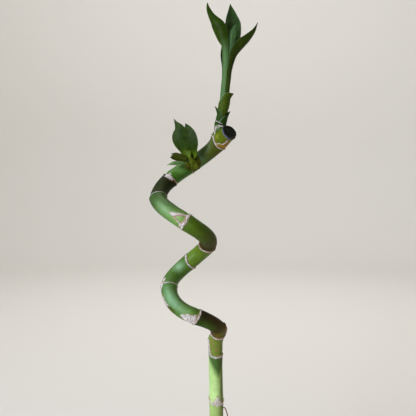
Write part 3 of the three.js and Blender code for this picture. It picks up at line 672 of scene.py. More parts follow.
stems = {
    "upperLine": [(4.2, 26.4, 398), (3.6, 26.9, 409.5), (4.6, 27, 416.2), (7.3, 27, 430), (8.6, 26, 447),
                  (9.7, 25.1, 459), (10.2, 24.8, 463)],
    "upperRadius": 2.9, "upperTip": (1.6, 444, 460),
    "upperBase": (5.4, 410.6, 2.4),        # radius, top, shoulder
    "lowerLine": [(-24, 30.5, 372), (-24.3, 26.4, 373.6), (-24.6, 24, 376.4), (-25, 23.2, 380.6)],
    "lowerRadius": 3,
    "sides": 64, "step": 0.4, "trim": 0.985,
}
upperCurve = curveThrough(stems["upperLine"])
lowerCurve = curveThrough(stems["lowerLine"])


def buildStem(name, curve, radiusAt):
    length = lengthsAlong(curve)[-1]
    s = np.linspace(0, length, int(length / stems["step"]) + 1)
    centre, along = alongLine(curve, s)
    angle = circle(stems["sides"])
    fibre = fibrePlaces(angle, s[:, None] + 0 * angle[None], 4)
    rough = noiseAt(fibre.reshape(-1, 3), np.array([0.5, 0.5, 0.25]), 3).reshape(len(s), -1)
    radius = radiusAt(centre[:, 2], s / length)[:, None] * stems["trim"] + 0.08 * rough
    points = centre[:, None] + spokes(*carriedFrames(along), angle) * radius[:, :, None]
    return addPiece(name, withMiddles(points), tubeFaces(len(s), stems["sides"]), [name], "young_stem",
                    {"fibre": withMiddles(fibre)})


def upperRadius(z, t):
    radius, top, shoulder = stems["upperBase"]
    tipRadius, tipFrom, tipTo = stems["upperTip"]
    low = radius + (stems["upperRadius"] - radius) * smooth((z - top) / shoulder)
    return low + (tipRadius - stems["upperRadius"]) * smooth((z - tipFrom) / (tipTo - tipFrom))


def lowerRadius(z, t):
    return stems["lowerRadius"] * (1.25 - 0.35 * t)


# Young shoot rind: smooth blue-green with a faint bloom, streaked lengthwise
def stemMaterial():
    add, finish = newMaterial("youngShootRind")
    look = {"rind": "#466a30", "shade": "#34561e", "streakScale": 1.1}   # a streak every 0.9 mm
    fibre = add("Attribute", output="Vector", attribute_name="fibre")
    stretched = add("VectorMath", {0: fibre, 1: (1, 1, 0.12)}, operation="MULTIPLY")
    grain = add("TexNoise", {"Vector": stretched, "Scale": look["streakScale"], "Detail": 3})
    colour = add("Mix", {0: grain, 6: look["rind"], 7: look["shade"]}, data_type="RGBA")
    bump = add("Bump", {"Height": grain, "Strength": 0.2, "Distance": 0.0003})
    return finish(Base_Color=colour, Roughness=0.42, Normal=bump, IOR=1.4, Specular_IOR_Level=0.4)


youngRind = stemMaterial()
upperStem = buildStem("upper_stem", upperCurve, upperRadius)
lowerStem = buildStem("lower_stem", lowerCurve, lowerRadius)
upperStem.data.materials.append(youngRind)
lowerStem.data.materials.append(youngRind)
print("shoot stems made")


# leaves and bracts: thin blades, each section an arc about its midrib

blade = {
    "thickness": 0.42, "margin": 0.2, "veins": 9, "veinHeight": 0.035, "midribGroove": 0.1,
    "stepsPerMm": 1.2, "leastSteps": 24, "spans": 30, "leastWidth": 0.15, "leastRoll": 0.12,
}


def buildBlade(name, stem, clasped, sheath, free, faces, shape, wave, waves, phase, torn):
    curve = curveThrough([lookUp(z, stem[:, 2], stem) + unit(clasped) * off for z, off in sheath] + free)
    length = lengthsAlong(curve)[-1]
    steps = max(int(length * blade["stepsPerMm"]), blade["leastSteps"])
    t = np.linspace(0, 1, steps + 1)
    centre, along = alongLine(curve, t * length)
    facing = curveThrough([unit(f) for f in faces], 200)
    normal = facing[np.round(t * (len(facing) - 1)).astype(int)]
    normal = unit(normal - along * np.sum(normal * along, 1, keepdims=True))
    side = np.cross(along, normal)
    width, roll, fold = (between(shape, k, t)[:, None] for k in (1, 2, 3))
    width, roll = np.maximum(width, blade["leastWidth"]), np.maximum(roll, blade["leastRoll"])
    t, u = t[:, None], np.linspace(1, -1, blade["spans"] + 1)[None]
    radius = width / roll
    opened = smooth((t - 0.25) / 0.3)                  # 0 in the sheath, 1 in the blade
    outward = side[:, None] * np.sin(u * roll)[:, :, None] - normal[:, None] * np.cos(u * roll)[:, :, None]
    ripple = wave * opened * np.square(u) * np.sin(fullTurn * waves * t + phase + 0.7 * u)
    groove = blade["midribGroove"] * bell(u / 0.07) * opened
    lift = fold * np.sqrt(u * u + 0.004) * width + radius + ripple - groove
    vein = blade["veinHeight"] * np.cos(fullTurn * blade["veins"] * u) * (1 - np.square(u)) * smooth(width / 2.5)
    middle = centre[:, None] + normal[:, None] * lift[:, :, None] + outward * radius[:, :, None]
    if torn:
        # a bitten end: the outline near the tip steps in and out across the blade
        bite = torn * smooth((t - 0.55) / 0.4) * (np.sin(9 * u + phase) + 0.6 * np.sin(21 * u + 2 * phase))
        middle = middle + along[:, None] * bite[:, :, None]
    half = (blade["margin"] + (blade["thickness"] - blade["margin"]) * (1 - np.abs(u) ** 3)) / 2 + 0 * width
    under = middle + outward * (half + vein)[:, :, None]
    over = middle - outward * (half - vein)[:, :, None]
    loop = np.concatenate([under, over[:, ::-1]], 1)
    n = loop.shape[1]
    quads = gridFaces(steps + 1, n)
    for start, turned in ((0, True), (steps * n, False)):
        for k in range(blade["spans"]):
            a, b = start + k, start + n - 1 - k
            quads.append([a, b, b - 1, a + 1] if turned else [a, a + 1, b - 1, b])
    across = np.concatenate([u[0], u[0][::-1]])[None] + 0 * t
    upperFace = np.concatenate([0 * u[0], 0 * u[0] + 1])[None] + 0 * t
    lengthwise = t + 0 * across
    flatPlace = np.stack([across * width, lengthwise * length, upperFace], 2)
    nodes, slotName = () if "scrap" in name else [name], "leaf" if "leaf" in name else "bract"
    return addPiece(name, loop.reshape(-1, 3), quads, nodes, slotName, {
        "across": across.ravel(), "lengthwise": lengthwise.ravel(), "upperFace": upperFace.ravel(),
        "flatPlace": flatPlace.reshape(-1, 3)})


# every blade's stem, the side it clasps, and its midrib: (height, mm off the stem) in the sheath, then free points;
# directions its upper side looks in; rows of place, half width in mm, roll and fold; then the edge's wave in mm,
# waves, phase and tear
bladeRows = {
    "upper_leaf_left": (
        upperCurve, (-0.35, -0.94, 0), [(431, 4), (447, 3.75), (460, 3.75)],
        [(8.9, 21.3, 470), (8.8, 20.6, 481), (8.2, 20, 486.5), (5.9, 19.6, 492), (3, 19.6, 499.9), (-1, 20.2, 507),
         (-5.3, 22, 514.8), (-7.6, 24.4, 522), (-8.3, 26, 527.7)],
        [(0.35, 0.94, 0), (0.35, 0.94, 0), (0.25, 0.95, 0.1), (0.35, 0.9, 0.3), (0.1, 0.95, 0.3)],
        [(0, 8.8, 2.2, 0), (0.28, 8, 2.15, 0), (0.36, 4.7, 1.25, 0), (0.5, 4.4, 1.1, 0), (0.555, 4.9, 0.95, 0),
         (0.61, 6.1, 0.8, 0.05), (0.66, 6.8, 0.65, 0.1), (0.71, 7, 0.55, 0.12), (0.755, 6.3, 0.5, 0.15),
         (0.81, 4.4, 0.5, 0.2), (0.863, 3.1, 0.5, 0.2), (0.915, 2.3, 0.5, 0.2), (0.965, 1.2, 0.5, 0.1),
         (1, 0.2, 0.4, 0)], 0.2, 1.7, 0.4, 0),
    "upper_leaf_right": (
        upperCurve, (0.87, -0.5, 0), [(437, 4.25), (447, 4.4), (455, 4.75), (462, 4.75)],
        [(18.4, 20.4, 475.5), (22.8, 20, 481.4), (31.4, 19.6, 491.2), (36.2, 19, 498), (38.8, 18, 505.7)],
        [(-0.87, 0.5, 0), (-0.87, 0.5, 0), (-0.8, 0.5, 0.5), (-0.6, 0.6, 0.6), (-0.8, 0.3, 0.4)],
        [(0, 4.4, 1.05, 0), (0.32, 4.75, 1, 0), (0.365, 4.75, 1, 0), (0.52, 6.6, 1, 0.1), (0.65, 7.4, 0.95, 0.25),
         (0.775, 5.4, 0.8, 0.25), (0.895, 3, 0.6, 0.2), (1, 0.2, 0.3, 0)], 0.15, 1.9, 1.3, 0),
    "upper_leaf_back": (
        upperCurve, (-0.17, 0.98, 0), [(455, 5.05), (462, 5.05)],
        [(10.5, 31.4, 475), (12.8, 33.4, 490), (13.9, 34, 505), (14, 33.4, 516), (13.9, 32, 529)],
        [(0.17, -0.98, 0), (0.1, -1, 0), (0.35, -0.94, 0.1), (0.6, -0.8, 0), (0.6, -0.8, -0.1)],
        [(0, 3.325, 0.7, 0), (0.14, 5.225, 1.1, 0), (0.3, 8.2, 0.9, 0.1), (0.5, 8.8, 0.4, 0.3),
         (0.64, 9.7, 0.25, 0.36), (0.77, 9.2, 0.2, 0.38), (0.86, 6.1, 0.2, 0.35), (0.93, 3.2, 0.2, 0.3),
         (1, 0.2, 0.2, 0)], 0.2, 2.1, 2, 0),
    "upper_leaf_young": (
        upperCurve, (0, 1, 0), [],
        [(10.3, 24.7, 463.4), (11.6, 23, 470), (12.9, 21.6, 477), (13.8, 20.6, 484), (14.8, 20.2, 491),
         (15.6, 20.2, 497.4), (18.6, 20, 505)],
        [(0.2, 0.95, 0), (0.3, 1, 0.1), (0.3, 1, 0.1)],
        [(0, 2, 0.7, 0), (0.33, 2.4, 0.9, 0), (0.5, 2.7, 0.7, 0.05), (0.62, 3.2, 0.55, 0.1), (0.72, 3.5, 0.5, 0.15),
         (0.82, 3.3, 0.5, 0.15), (0.92, 2, 0.5, 0.1), (0.97, 0.9, 0.4, 0.1), (1, 0.2, 0.4, 0)], 0.1, 1.2, 0, 0),
    "lower_leaf_left": (
        lowerCurve, (-0.85, -0.53, 0), [(377.4, 3.75), (380, 3.75)],
        [(-29.6, 20.8, 386), (-31.6, 20, 391), (-33.8, 19.4, 398), (-34.9, 19.6, 407), (-38.2, 20.8, 413),
         (-39.8, 21.5, 416.3)],
        [(0.85, 0.53, 0), (0.35, 0.93, 0), (0.2, 0.97, 0), (0.25, 0.95, 0.1), (0.4, 0.9, 0.2)],
        [(0, 3.375, 0.8, 0), (0.12, 5.6, 0.6, 0.05), (0.24, 5.8, 0.5, 0.05), (0.38, 7.4, 0.3, 0.05),
         (0.53, 8.2, 0.22, 0.05), (0.66, 6.8, 0.2, 0.05), (0.76, 4.6, 0.2, 0.05), (0.89, 1.8, 0.2, 0.05),
         (1, 0.2, 0.2, 0)], 0.25, 2.2, 0, 0),
    "lower_leaf_right": (
        lowerCurve, (1, 0, 0), [(378, 3.95), (380.4, 3.95)],
        [(-22.4, 19.8, 386), (-23.5, 18, 393), (-24.8, 17.6, 400), (-26.3, 18.4, 405.6), (-28.8, 20.2, 411.9)],
        [(-1, 0, 0), (-0.35, -0.94, 0), (-0.3, -0.95, 0), (-0.25, -0.95, 0.1), (-0.2, -0.95, 0)],
        [(0, 3.375, 0.8, 0), (0.12, 5.6, 0.5, 0.05), (0.25, 5.6, 0.4, 0.05), (0.42, 7.2, 0.2, 0.06),
         (0.56, 7.2, 0.16, 0.06), (0.7, 6, 0.16, 0.06), (0.84, 3.6, 0.16, 0.06), (0.93, 1.7, 0.2, 0.05),
         (1, 0.2, 0.2, 0)], 0.15, 1.8, 1, 0),
    "lower_leaf_dark": (
        lowerCurve, (-1, 0, 0), [],
        [(-27.7, 19.4, 376.6), (-32.6, 18.6, 378.4), (-37, 18.6, 379.6), (-41.6, 18, 381.4)],
        [(0.1, 0.85, 0.5), (0.1, 0.85, 0.5), (0.2, 0.85, 0.4)],
        [(0, 3, 0.6, 0), (0.3, 4.4, 0.5, 0.1), (0.65, 4.4, 0.45, 0.1), (0.88, 4, 0.4, 0.1), (0.97, 3.2, 0.35, 0.1),
         (1, 2.6, 0.3, 0)], 0.25, 1.4, 0.5, 0.8),
    "lower_leaf_pale": (
        lowerCurve, (-1, 0, 0), [],
        [(-28.4, 18.6, 372.8), (-33, 18, 373.6), (-39, 16.2, 373.2), (-45.9, 15.2, 372.2)],
        [(0, -0.7, 0.7), (0, -0.7, 0.7), (0, -0.6, 0.8)],
        [(0, 2, 0.6, 0), (0.4, 3, 0.45, 0.1), (0.7, 2.6, 0.4, 0.1), (1, 0.2, 0.3, 0)], 0.15, 1.4, 1.9, 0),
    "upper_bract_left": (
        upperCurve, (-0.93, -0.36, 0), [(411.6, 5.4), (415, 5), (418.5, 4.75), (422, 4.75)], [(-0.9, 25.2, 429)],
        [(0.93, 0.36, 0), (0.93, 0.36, 0), (0.93, 0.36, 0.4)],
        [(0, 10.53, 1.95, 0), (0.25, 8.3125, 1.75, 0), (0.55, 5.225, 1.1, 0), (0.82, 2.1375, 0.45, 0),
         (1, 0.2, 0.4, 0)], 0.1, 1.5, 0.8, 0),
    "upper_bract_right": (
        upperCurve, (0.93, 0.36, 0), [(410.6, 5.75), (414, 5.95), (417, 6.05), (419.5, 6.05)], [(13.6, 27.6, 424.6)],
        [(-0.93, -0.36, 0), (-0.93, -0.36, 0), (-0.93, -0.36, 0.4)],
        [(0, 12.98, 2.2, 0), (0.4, 10.5875, 1.75, 0), (0.75, 4.5375, 0.75, 0), (1, 0.2, 0.4, 0)], 0.1, 1.5, 0.8, 0),
    "upper_bract_high": (
        upperCurve, (0.9, -0.43, 0), [(417.5, 3.95), (424, 4.7), (429, 5.4), (433, 5.6), (437, 6)],
        [(16.6, 24.4, 441)],
        [(-0.9, 0.43, 0), (-0.9, 0.43, 0), (-0.9, 0.43, 0.4)],
        [(0, 10.27, 2.6, 0), (0.3, 13.23, 2.7, 0), (0.46, 13.25, 2.5, 0), (0.63, 10.92, 1.95, 0),
         (0.76, 8.68, 1.55, 0), (0.86, 5.5, 1.1, 0), (0.93, 2.52, 0.7, 0), (1, 0.2, 0.4, 0)], 0.12, 1.5, 0.8, 0),
    "lower_bract_right": (
        lowerCurve, (1, 0, 0), [],
        [(-17, 26.6, 369), (-17.2, 24.8, 374), (-17.4, 23.4, 379.4), (-16.6, 22.8, 381.6)],
        [(-0.5, 0.8, 0.1), (-0.3, 1, 0), (-0.1, 1, 0)],
        [(0, 3.2, 0.9, 0), (0.5, 3.9, 0.7, 0.1), (0.8, 2.2, 0.5, 0.1), (1, 0.2, 0.4, 0)], 0.2, 1.6, 0.3, 0.4),
    "lower_bract_front": (
        lowerCurve, (0, -1, 0), [],
        [(-22, 25, 366.6), (-22.1, 21.3, 370.6), (-22.5, 18.4, 374.8), (-23.4, 17.4, 379.4)],
        [(0, 0.8, 0.5), (0, 0.9, 0.4), (0, 0.95, 0.2)],
        [(0, 3.4, 0.8, 0), (0.35, 4.6, 0.7, 0.1), (0.65, 4.3, 0.6, 0.1), (0.85, 2.4, 0.5, 0.1), (1, 0.2, 0.4, 0)],
        0.25, 1.7, 1.1, 0.5),
    # torn scraps of older sheaths round the shoot's foot and at the first left bend
    "sheath_scrap_low": (
        lowerCurve, (0, -1, 0), [], [(-19.6, 22.2, 367.6), (-19, 19.8, 370.6), (-18.4, 18.6, 374.4)],
        [(0.2, 0.9, 0.4), (0.2, 0.95, 0.2)], [(0, 1.8, 0.7, 0), (0.5, 2.8, 0.6, 0.1), (1, 0.5, 0.4, 0)],
        0.25, 1.5, 2, 0.5),
    "sheath_scrap_bend": (
        lowerCurve, (0, -1, 0), [],
        [(-42, -20, 248), (-40.6, -22.2, 246), (-37.6, -24.2, 244.6), (-36.4, -24.8, 243.6)],
        [(0.7, 0.66, 0.2), (0.6, 0.76, 0.2)], [(0, 0.4, 0.3, 0), (0.4, 1.1, 0.4, 0.1), (1, 0.3, 0.3, 0)],
        0.2, 1.2, 1, 0.4),
    "sheath_scrap_left": (
        lowerCurve, (-1, 0, 0), [], [(-26.6, 21.6, 368.6), (-27.2, 19.2, 371.4), (-27.6, 18.2, 375.6)],
        [(-0.2, 0.9, 0.4), (-0.1, 0.95, 0.2)], [(0, 2, 0.7, 0), (0.5, 2.6, 0.6, 0.1), (1, 0.4, 0.4, 0)],
        0.25, 1.5, 0.7, 0.4),
}


# material by material: deep and bright blade, sheath and its shade, vein, underside and edge colours;
# shares of streaks and of pale edge, where the sheath ends, mottling per mm, roughness
leafLooks = {
    "waxyLeafBlade": ("#192c00 #2c4200 #608456 #4a6e38 #3a5408 #2c4408 #6c8c5c", 0.3, 0.35, (0.42, 0.64), 0.16, 0.48),
    # a darker copy for the right leaf, its sheath most of all, as painted shade where it faces away from the light
    "waxyLeafPaintedShade": ("#1b2e08 #323c06 #40561c #30450e #2c4816 #203608 #5c7a4e", 0.3, 0.3, (0.1, 0.5), 0.16, 0.48),
    "waxyBlueGreenLeaf": (
        "#2c4820 #44643c #2a4414 #1e360c #42603a #2c4818 #6c8a60", 0.35, 0.35, (0.1, 0.4), 0.16, 0.48),
    "waxyLowLeaf": ("#142700 #273d00 #6a7e08 #3c560c #3e600e #2a4608 #4c6c26", 0.35, 0.25, (0.06, 0.34), 0.2, 0.5),
    # pale silvery green: partly the leaf's own waxy tone, partly a painted sheen where its upper side catches the
    # light
    "paleLowLeafPaintedSheen": ("#466538 #76945c #4c6c34 #3a5a24 #8aa674 #54743e #8aa674", 0.4, 0.4, (0.1, 0.4), 0.4, 0.46),
    "driedTipLeaf": ("#262e04 #3a4408 #3c460a #2c3806 #4c5410 #30380a #5c5a2a", 0.35, 0.4, (0.1, 0.4), 0.3, 0.52),
    "paleYoungLeaf": ("#304c26 #406038 #44663a #345424 #5c7e50 #3c5c2c #7c9c70", 0.4, 0.5, (0.1, 0.5), 0.3, 0.5),
    # scale leaves: matt, mottled yellow-green, drying to a pale edge
    "scaleLeaf": ("#263c06 #4a5e10 #2e4a0a #223a06 #5e6c1c #30460c #8fa688", 0.5, 0.7, (0, 0.2), 0.55, 0.55),
    "lowScaleLeaf": ("#1e380a #2a460c #284a14 #1e380c #365618 #263f12 #7f9c80", 0.35, 0.75, (0, 0.2), 0.4, 0.55),
    # dried bract: matt, blotched from green to yellow and brown
    "dryingBract": ("#26420a #676a10 #2f4c0a #4a3f0c #7d6618 #38460c #8f7f4c", 0.5, 0.6, (0.1, 0.6), 0.8, 0.6),
}


# Leaf blade: thick, waxy and lightly glossy, deep green with fine lengthwise veins, paler towards its sheath
def leafMaterial(name):
    add, finish = newMaterial(name)
    colours, streakShare, margin, sheathEnd, mottleScale, roughness = leafLooks[name]
    deep, bright, sheath, sheathShade, veinTone, under, edgeTone = colours.split()
    across, lengthwise, upperFace = (
        add("Attribute", output="Fac", attribute_name=n) for n in ("across", "lengthwise", "upperFace"))
    flat = add("Attribute", output="Vector", attribute_name="flatPlace")
    stretched = add("VectorMath", {0: flat, 1: (1, 0.07, 1)}, operation="MULTIPLY")
    veins = add("TexNoise", {"Vector": stretched, "Scale": 1.5, "Detail": 3})
    mottle = add("TexNoise", {"Vector": flat, "Scale": mottleScale, "Detail": 3})
    patchy = add("MapRange", {0: mottle, 1: 0.35, 2: 0.65})
    inward = add("MapRange", {0: lengthwise, 1: sheathEnd[0], 2: sheathEnd[1]}, interpolation_type="SMOOTHSTEP")
    bladeTone = add("Mix", {0: patchy, 6: deep, 7: bright}, data_type="RGBA")
    sheathTone = add("Mix", {0: veins, 6: sheath, 7: sheathShade}, data_type="RGBA")
    colour = add("Mix", {0: inward, 6: sheathTone, 7: bladeTone}, data_type="RGBA")
    streak = add("MapRange", {0: veins, 1: 0.5, 2: 0.75, 4: streakShare})
    colour = add("Mix", {0: streak, 6: colour, 7: veinTone}, data_type="RGBA")
    underShare = add("Math", {0: upperFace, 1: -0.2, 2: 0.2}, operation="MULTIPLY_ADD")
    colour = add("Mix", {0: underShare, 6: colour, 7: under}, data_type="RGBA")
    edge = add("Math", {0: across}, operation="ABSOLUTE")
    edge = add("MapRange", {0: edge, 1: 0.9, 2: 1, 4: margin})
    colour = add("Mix", {0: edge, 6: colour, 7: edgeTone}, data_type="RGBA")
    bump = add("Bump", {"Height": veins, "Strength": 0.25, "Distance": 0.0003})
    return finish(Base_Color=colour, Roughness=roughness, Normal=bump, IOR=1.4, Specular_IOR_Level=0.13)


leafFinish = {
    "upper_leaf_left": "waxyLeafBlade", "upper_leaf_back": "waxyBlueGreenLeaf", "upper_leaf_right": "waxyLeafPaintedShade",
    "upper_leaf_young": "paleYoungLeaf", "lower_leaf_pale": "paleLowLeafPaintedSheen", "lower_leaf_left": "waxyLowLeaf",
    "lower_leaf_right": "waxyLowLeaf", "lower_leaf_dark": "driedTipLeaf", "upper_bract_high": "scaleLeaf",
    "upper_bract_left": "lowScaleLeaf", "upper_bract_right": "lowScaleLeaf",
}
leafMaterials = {name: leafMaterial(name) for name in leafLooks}
blades = {name: buildBlade(name, *row) for name, row in bladeRows.items()}
for name, piece in blades.items():
    piece.data.materials.append(leafMaterials[leafFinish.get(name, "dryingBract")])
print("leaves and bracts made")


# papery lines where sheaths came away, laid on the rind along lines seen from the camera

def treeOf(*pieces):
    corners, faces = [], []
    for piece in pieces:
        start = len(corners)
        corners += [tuple(v.co / mm) for v in piece.data.vertices]
        faces += [[start + i for i in polygon.vertices] for polygon in piece.data.polygons]
    return BVHTree.FromPolygons(corners, faces)


def rindAt(origin, ray, nearby):
    # the rind's point and normal that a ray meets, or else the nearest
    hit = topTree.ray_cast(origin, ray)
    point, normal, _, _ = hit if hit[0] is not None else topTree.find_nearest(nearby)
    return np.array(point), np.array(normal)


def seenAt(px, py, depth):
    # at a place of the photograph's frame
    origin, middle, pixel = Vector(cameraSet["place"]), cameraSet["middle"], cameraSet["pixel"]
    ray = Vector(((px - middle) * pixel, -origin.y, (middle - py) * pixel)).normalized()
    return rindAt(origin, ray, origin + ray * ((depth - origin.y) / ray.y))


def roundAt(azimuth, z):
    # round the shoot's foot, seen from outside
    a = math.radians(azimuth)
    out, middle = Vector((math.cos(a), math.sin(a), 0)), Vector((*ribbon["bulb"], z))
    return rindAt(middle + out * 30, -out, middle + out * 6)


def buildRibbons(name, lines):
    # each line: places with normals, width and height in mm; the section is a low ragged ridge
    points, faces, start, m = [], [], 0, len(ribbon["section"])
    for n, (hits, width, height) in enumerate(lines):
        curve, normals = (curveThrough([h[k] for h in hits], 24) for k in (0, 1))
        s = lengthsAlong(curve)
        steps = max(int(s[-1] / ribbon["step"]), 8)
        d = np.linspace(0, s[-1], steps + 1)
        centre, along = alongLine(curve, d)
        normal = unit(lookUp(d, s, normals))
        side = unit(np.cross(along, normal))
        places = np.stack([d, 0 * d, 0 * d], 1)
        ragged, crumbs = noiseAt(places, 0.6, n * 7.3), noiseAt(places, 1.7, n * 3.1 + 40)
        ends = np.sqrt(np.clip(np.minimum(d, s[-1] - d) / 1.2, 0.05, 1))
        halfWidth = width / 2 * (1 + 0.55 * ragged + 0.3 * crumbs) * ends
        for u, h in ribbon["section"]:
            points.append(centre + side * (u * halfWidth + 0.12 * crumbs)[:, None]
                          + normal * (h * height * (1 + 0.4 * crumbs) * ends)[:, None])
        count = steps + 1
        for i in range(steps):
            for k in range(m):
                a, b = start + k * count + i, start + ((k + 1) % m) * count + i
                faces.append([a, b, b + 1, a + 1])
        faces += [[start + k * count for k in range(m)][::-1], [start + k * count + steps for k in range(m)]]
        start += count * m
    return addPiece(name, np.vstack(points), faces, (), "bract")


topTree = treeOf(canePiece, upperStem, *(blades[name] for name in blades if "leaf" not in name))
# pixel lines have x and y in the photograph's frame, hidden ones azimuth and height round the shoot's foot
ribbon = {
    "section": [(-1, -0.5), (-0.8, 0.5), (-0.3, 1), (0.35, 0.85), (0.85, 0.45), (1, -0.5)], "step": 0.3,
    "bulb": (3.8, 26.8),
    "loop": [(227.3, 140.6), (225.6, 142.7), (223.4, 144.2), (221.3, 144.5), (219.3, 143.4), (217.6, 144.1),
             (215.8, 143.9), (214.4, 142.4), (213.5, 139.8), (213.5, 137.2), (214.3, 134.6), (214.7, 133.3),
             (214.9, 132.2), (215, 131.2), (215.2, 130.2), (215.7, 127.9), (216.5, 126.3), (218.5, 125.6),
             (220.4, 126.2), (222, 126.3), (223.6, 127.6)],
    "bractFoot": [(215.4, 120.5), (216.6, 121), (217.8, 121.6), (219, 122.3), (220.2, 122.9), (221.4, 123.5),
                  (222.6, 124.1), (224.8, 125.2)],
    "bractBack": [(-10, 411.6), (40, 412), (90, 413.2), (140, 414.4), (190, 415)],
    "loopBack": [(190, 408.6), (150, 408), (105, 407.4), (60, 406.6), (15, 406.6)],
    "smallBud": [(216, 129.9), (216.4, 128), (218, 127.3), (219.4, 128.3)],
}
ribbonLines = [
    ([seenAt(x, y, 22) for x, y in ribbon["loop"][:11]], 0.95, 0.34),
    ([seenAt(x, y, 22) for x, y in ribbon["loop"][10:]], 1.5, 0.36),
    ([seenAt(x, y, 22) for x, y in ribbon["bractFoot"]], 0.7, 0.28),
    ([roundAt(a, z) for a, z in ribbon["bractBack"]], 0.6, 0.2),
    ([roundAt(a, z) for a, z in ribbon["loopBack"]], 1.2, 0.35),
    ([seenAt(x, y, 20) for x, y in ribbon["smallBud"]], 0.45, 0.2),
]


# Dry sheath paper: matt, pinkish white, going brown in places
def paperMaterial():
    add, finish = newMaterial("drySheathPaper")
    look = {"pale": "#cbbdbe", "brown": "#8f7060", "blotchScale": 420}   # blotches of 2.4 mm
    place = add("TexCoord", output="Object")
    patchy = add("TexNoise", {"Vector": place, "Scale": look["blotchScale"], "Detail": 4})
    share = add("MapRange", {0: patchy, 1: 0.48, 2: 0.72})
    colour = add("Mix", {0: share, 6: look["pale"], 7: look["brown"]}, data_type="RGBA")
    bump = add("Bump", {"Height": patchy, "Strength": 0.5, "Distance": 0.0003})
    return finish(Base_Color=colour, Roughness=0.85, Normal=bump, IOR=1.45)


buildRibbons("sheath_scars", ribbonLines).data.materials.append(paperMaterial())
print("papery scars laid")


# vase, pebbles and roots: below the photograph's edge

vase = {
    "height": 120, "baseRadius": 30, "rimRadius": 34, "wall": 3.6, "floor": 6, "sides": 144, "trim": 0.02,
    "foot": [(0.3, 0.9), (24, 0.9), (24.8, 0.7), (25.4, 0.05), (28.4, 0), (29.1, 0.3)],   # radius and height
}


def buildVase():
    taper = (vase["rimRadius"] - vase["baseRadius"]) / vase["height"]
    outerAt = lambda z: vase["baseRadius"] + taper * z - vase["trim"]
    innerAt = lambda z: vase["baseRadius"] + taper * z - vase["wall"]
    rim = vase["wall"] / 2
    top = vase["height"] - rim
    profile = vase["foot"] + [(outerAt(1.6), 1.5)] + [(outerAt(z), z) for z in np.linspace(4, top, 16)]
    for i in range(1, 12):
        a = math.pi * i / 12
        profile.append((outerAt(top) - rim + rim * math.cos(a), top + rim * math.sin(a)))
    profile += [(innerAt(z), z) for z in np.linspace(top, vase["floor"] + 5, 12)]
    profile += [(innerAt(8) - 1.2, 7.6), (innerAt(8) - 4, vase["floor"]), (0.3, vase["floor"])]
    clay = np.array([[1 if z < 1.4 and r > 20 else 0] * vase["sides"] for r, z in profile])
    rimThin = np.array([[float(bell((z - vase["height"]) / 1.3))] * vase["sides"] for r, z in profile])
    sections = turnedRings(profile, vase["sides"])
    return addPiece("vase", withMiddles(sections), tubeFaces(len(sections), vase["sides"]), ["vase"], "glaze",
                    {"clay": spread(clay), "rimThin": spread(rimThin)})


# Glazed stoneware: warm white glaze, glassy but faintly uneven, thin and toasty at the rim, bare clay foot ring
def glazeMaterial():
    add, finish = newMaterial("glazedStoneware")
    look = {
        "glaze": "#e9e4d8", "cool": "#dcdad0", "toast": "#b7946a", "clay": "#a88c6c",
        "cloudScale": 26, "dimpleScale": 180, "speckScale": 150,   # 40 mm clouds, 6 mm dimples, specks 7 mm apart
    }
    clay, rimThin = (add("Attribute", output="Fac", attribute_name=n) for n in ("clay", "rimThin"))
    place = add("TexCoord", output="Object")
    cloud = add("TexNoise", {"Vector": place, "Scale": look["cloudScale"], "Detail": 3})
    dimple = add("TexNoise", {"Vector": place, "Scale": look["dimpleScale"], "Detail": 2})
    speck = add("TexVoronoi", {"Vector": place, "Scale": look["speckScale"]})
    speckShare = add("MapRange", {0: speck, 1: 0.06, 2: 0.12, 3: 0.35, 4: 0})
    body = add("Mix", {0: cloud, 6: look["glaze"], 7: look["cool"]}, data_type="RGBA")
    body = add("Mix", {0: speckShare, 6: body, 7: look["toast"]}, data_type="RGBA")
    rimShare = add("Math", {0: rimThin, 1: 0.7}, operation="MULTIPLY")
    body = add("Mix", {0: rimShare, 6: body, 7: look["toast"]}, data_type="RGBA")
    colour = add("Mix", {0: clay, 6: body, 7: look["clay"]}, data_type="RGBA")
    gloss = add("Math", {0: clay, 1: 0.6, 2: 0.2}, operation="MULTIPLY_ADD")
    bump = add("Bump", {"Height": dimple, "Strength": 0.08, "Distance": 0.001})
    return finish(Base_Color=colour, Roughness=gloss, Normal=bump, IOR=1.5)


buildVase().data.materials.append(glazeMaterial())

pebbles = {
    "top": 101, "stoneRadius": 6.4, "stoneRise": 6, "spacing": 5.6, "stones": 44, "detail": 3, "seed": 11,
    "insideTop": 29.3, "caneRoom": 7.2, "layers": 3, "layerDrop": 5.4, "smallest": 2.4,
}


def ballMesh(detail):
    # a round ball of even triangles
    ball = bmesh.new()
    bmesh.ops.create_icosphere(ball, subdivisions=detail, radius=1)
    points = np.array([v.co[:] for v in ball.verts])
    faces = np.array([[v.index for v in f.verts] for f in ball.faces])
    ball.free()
    return points, faces


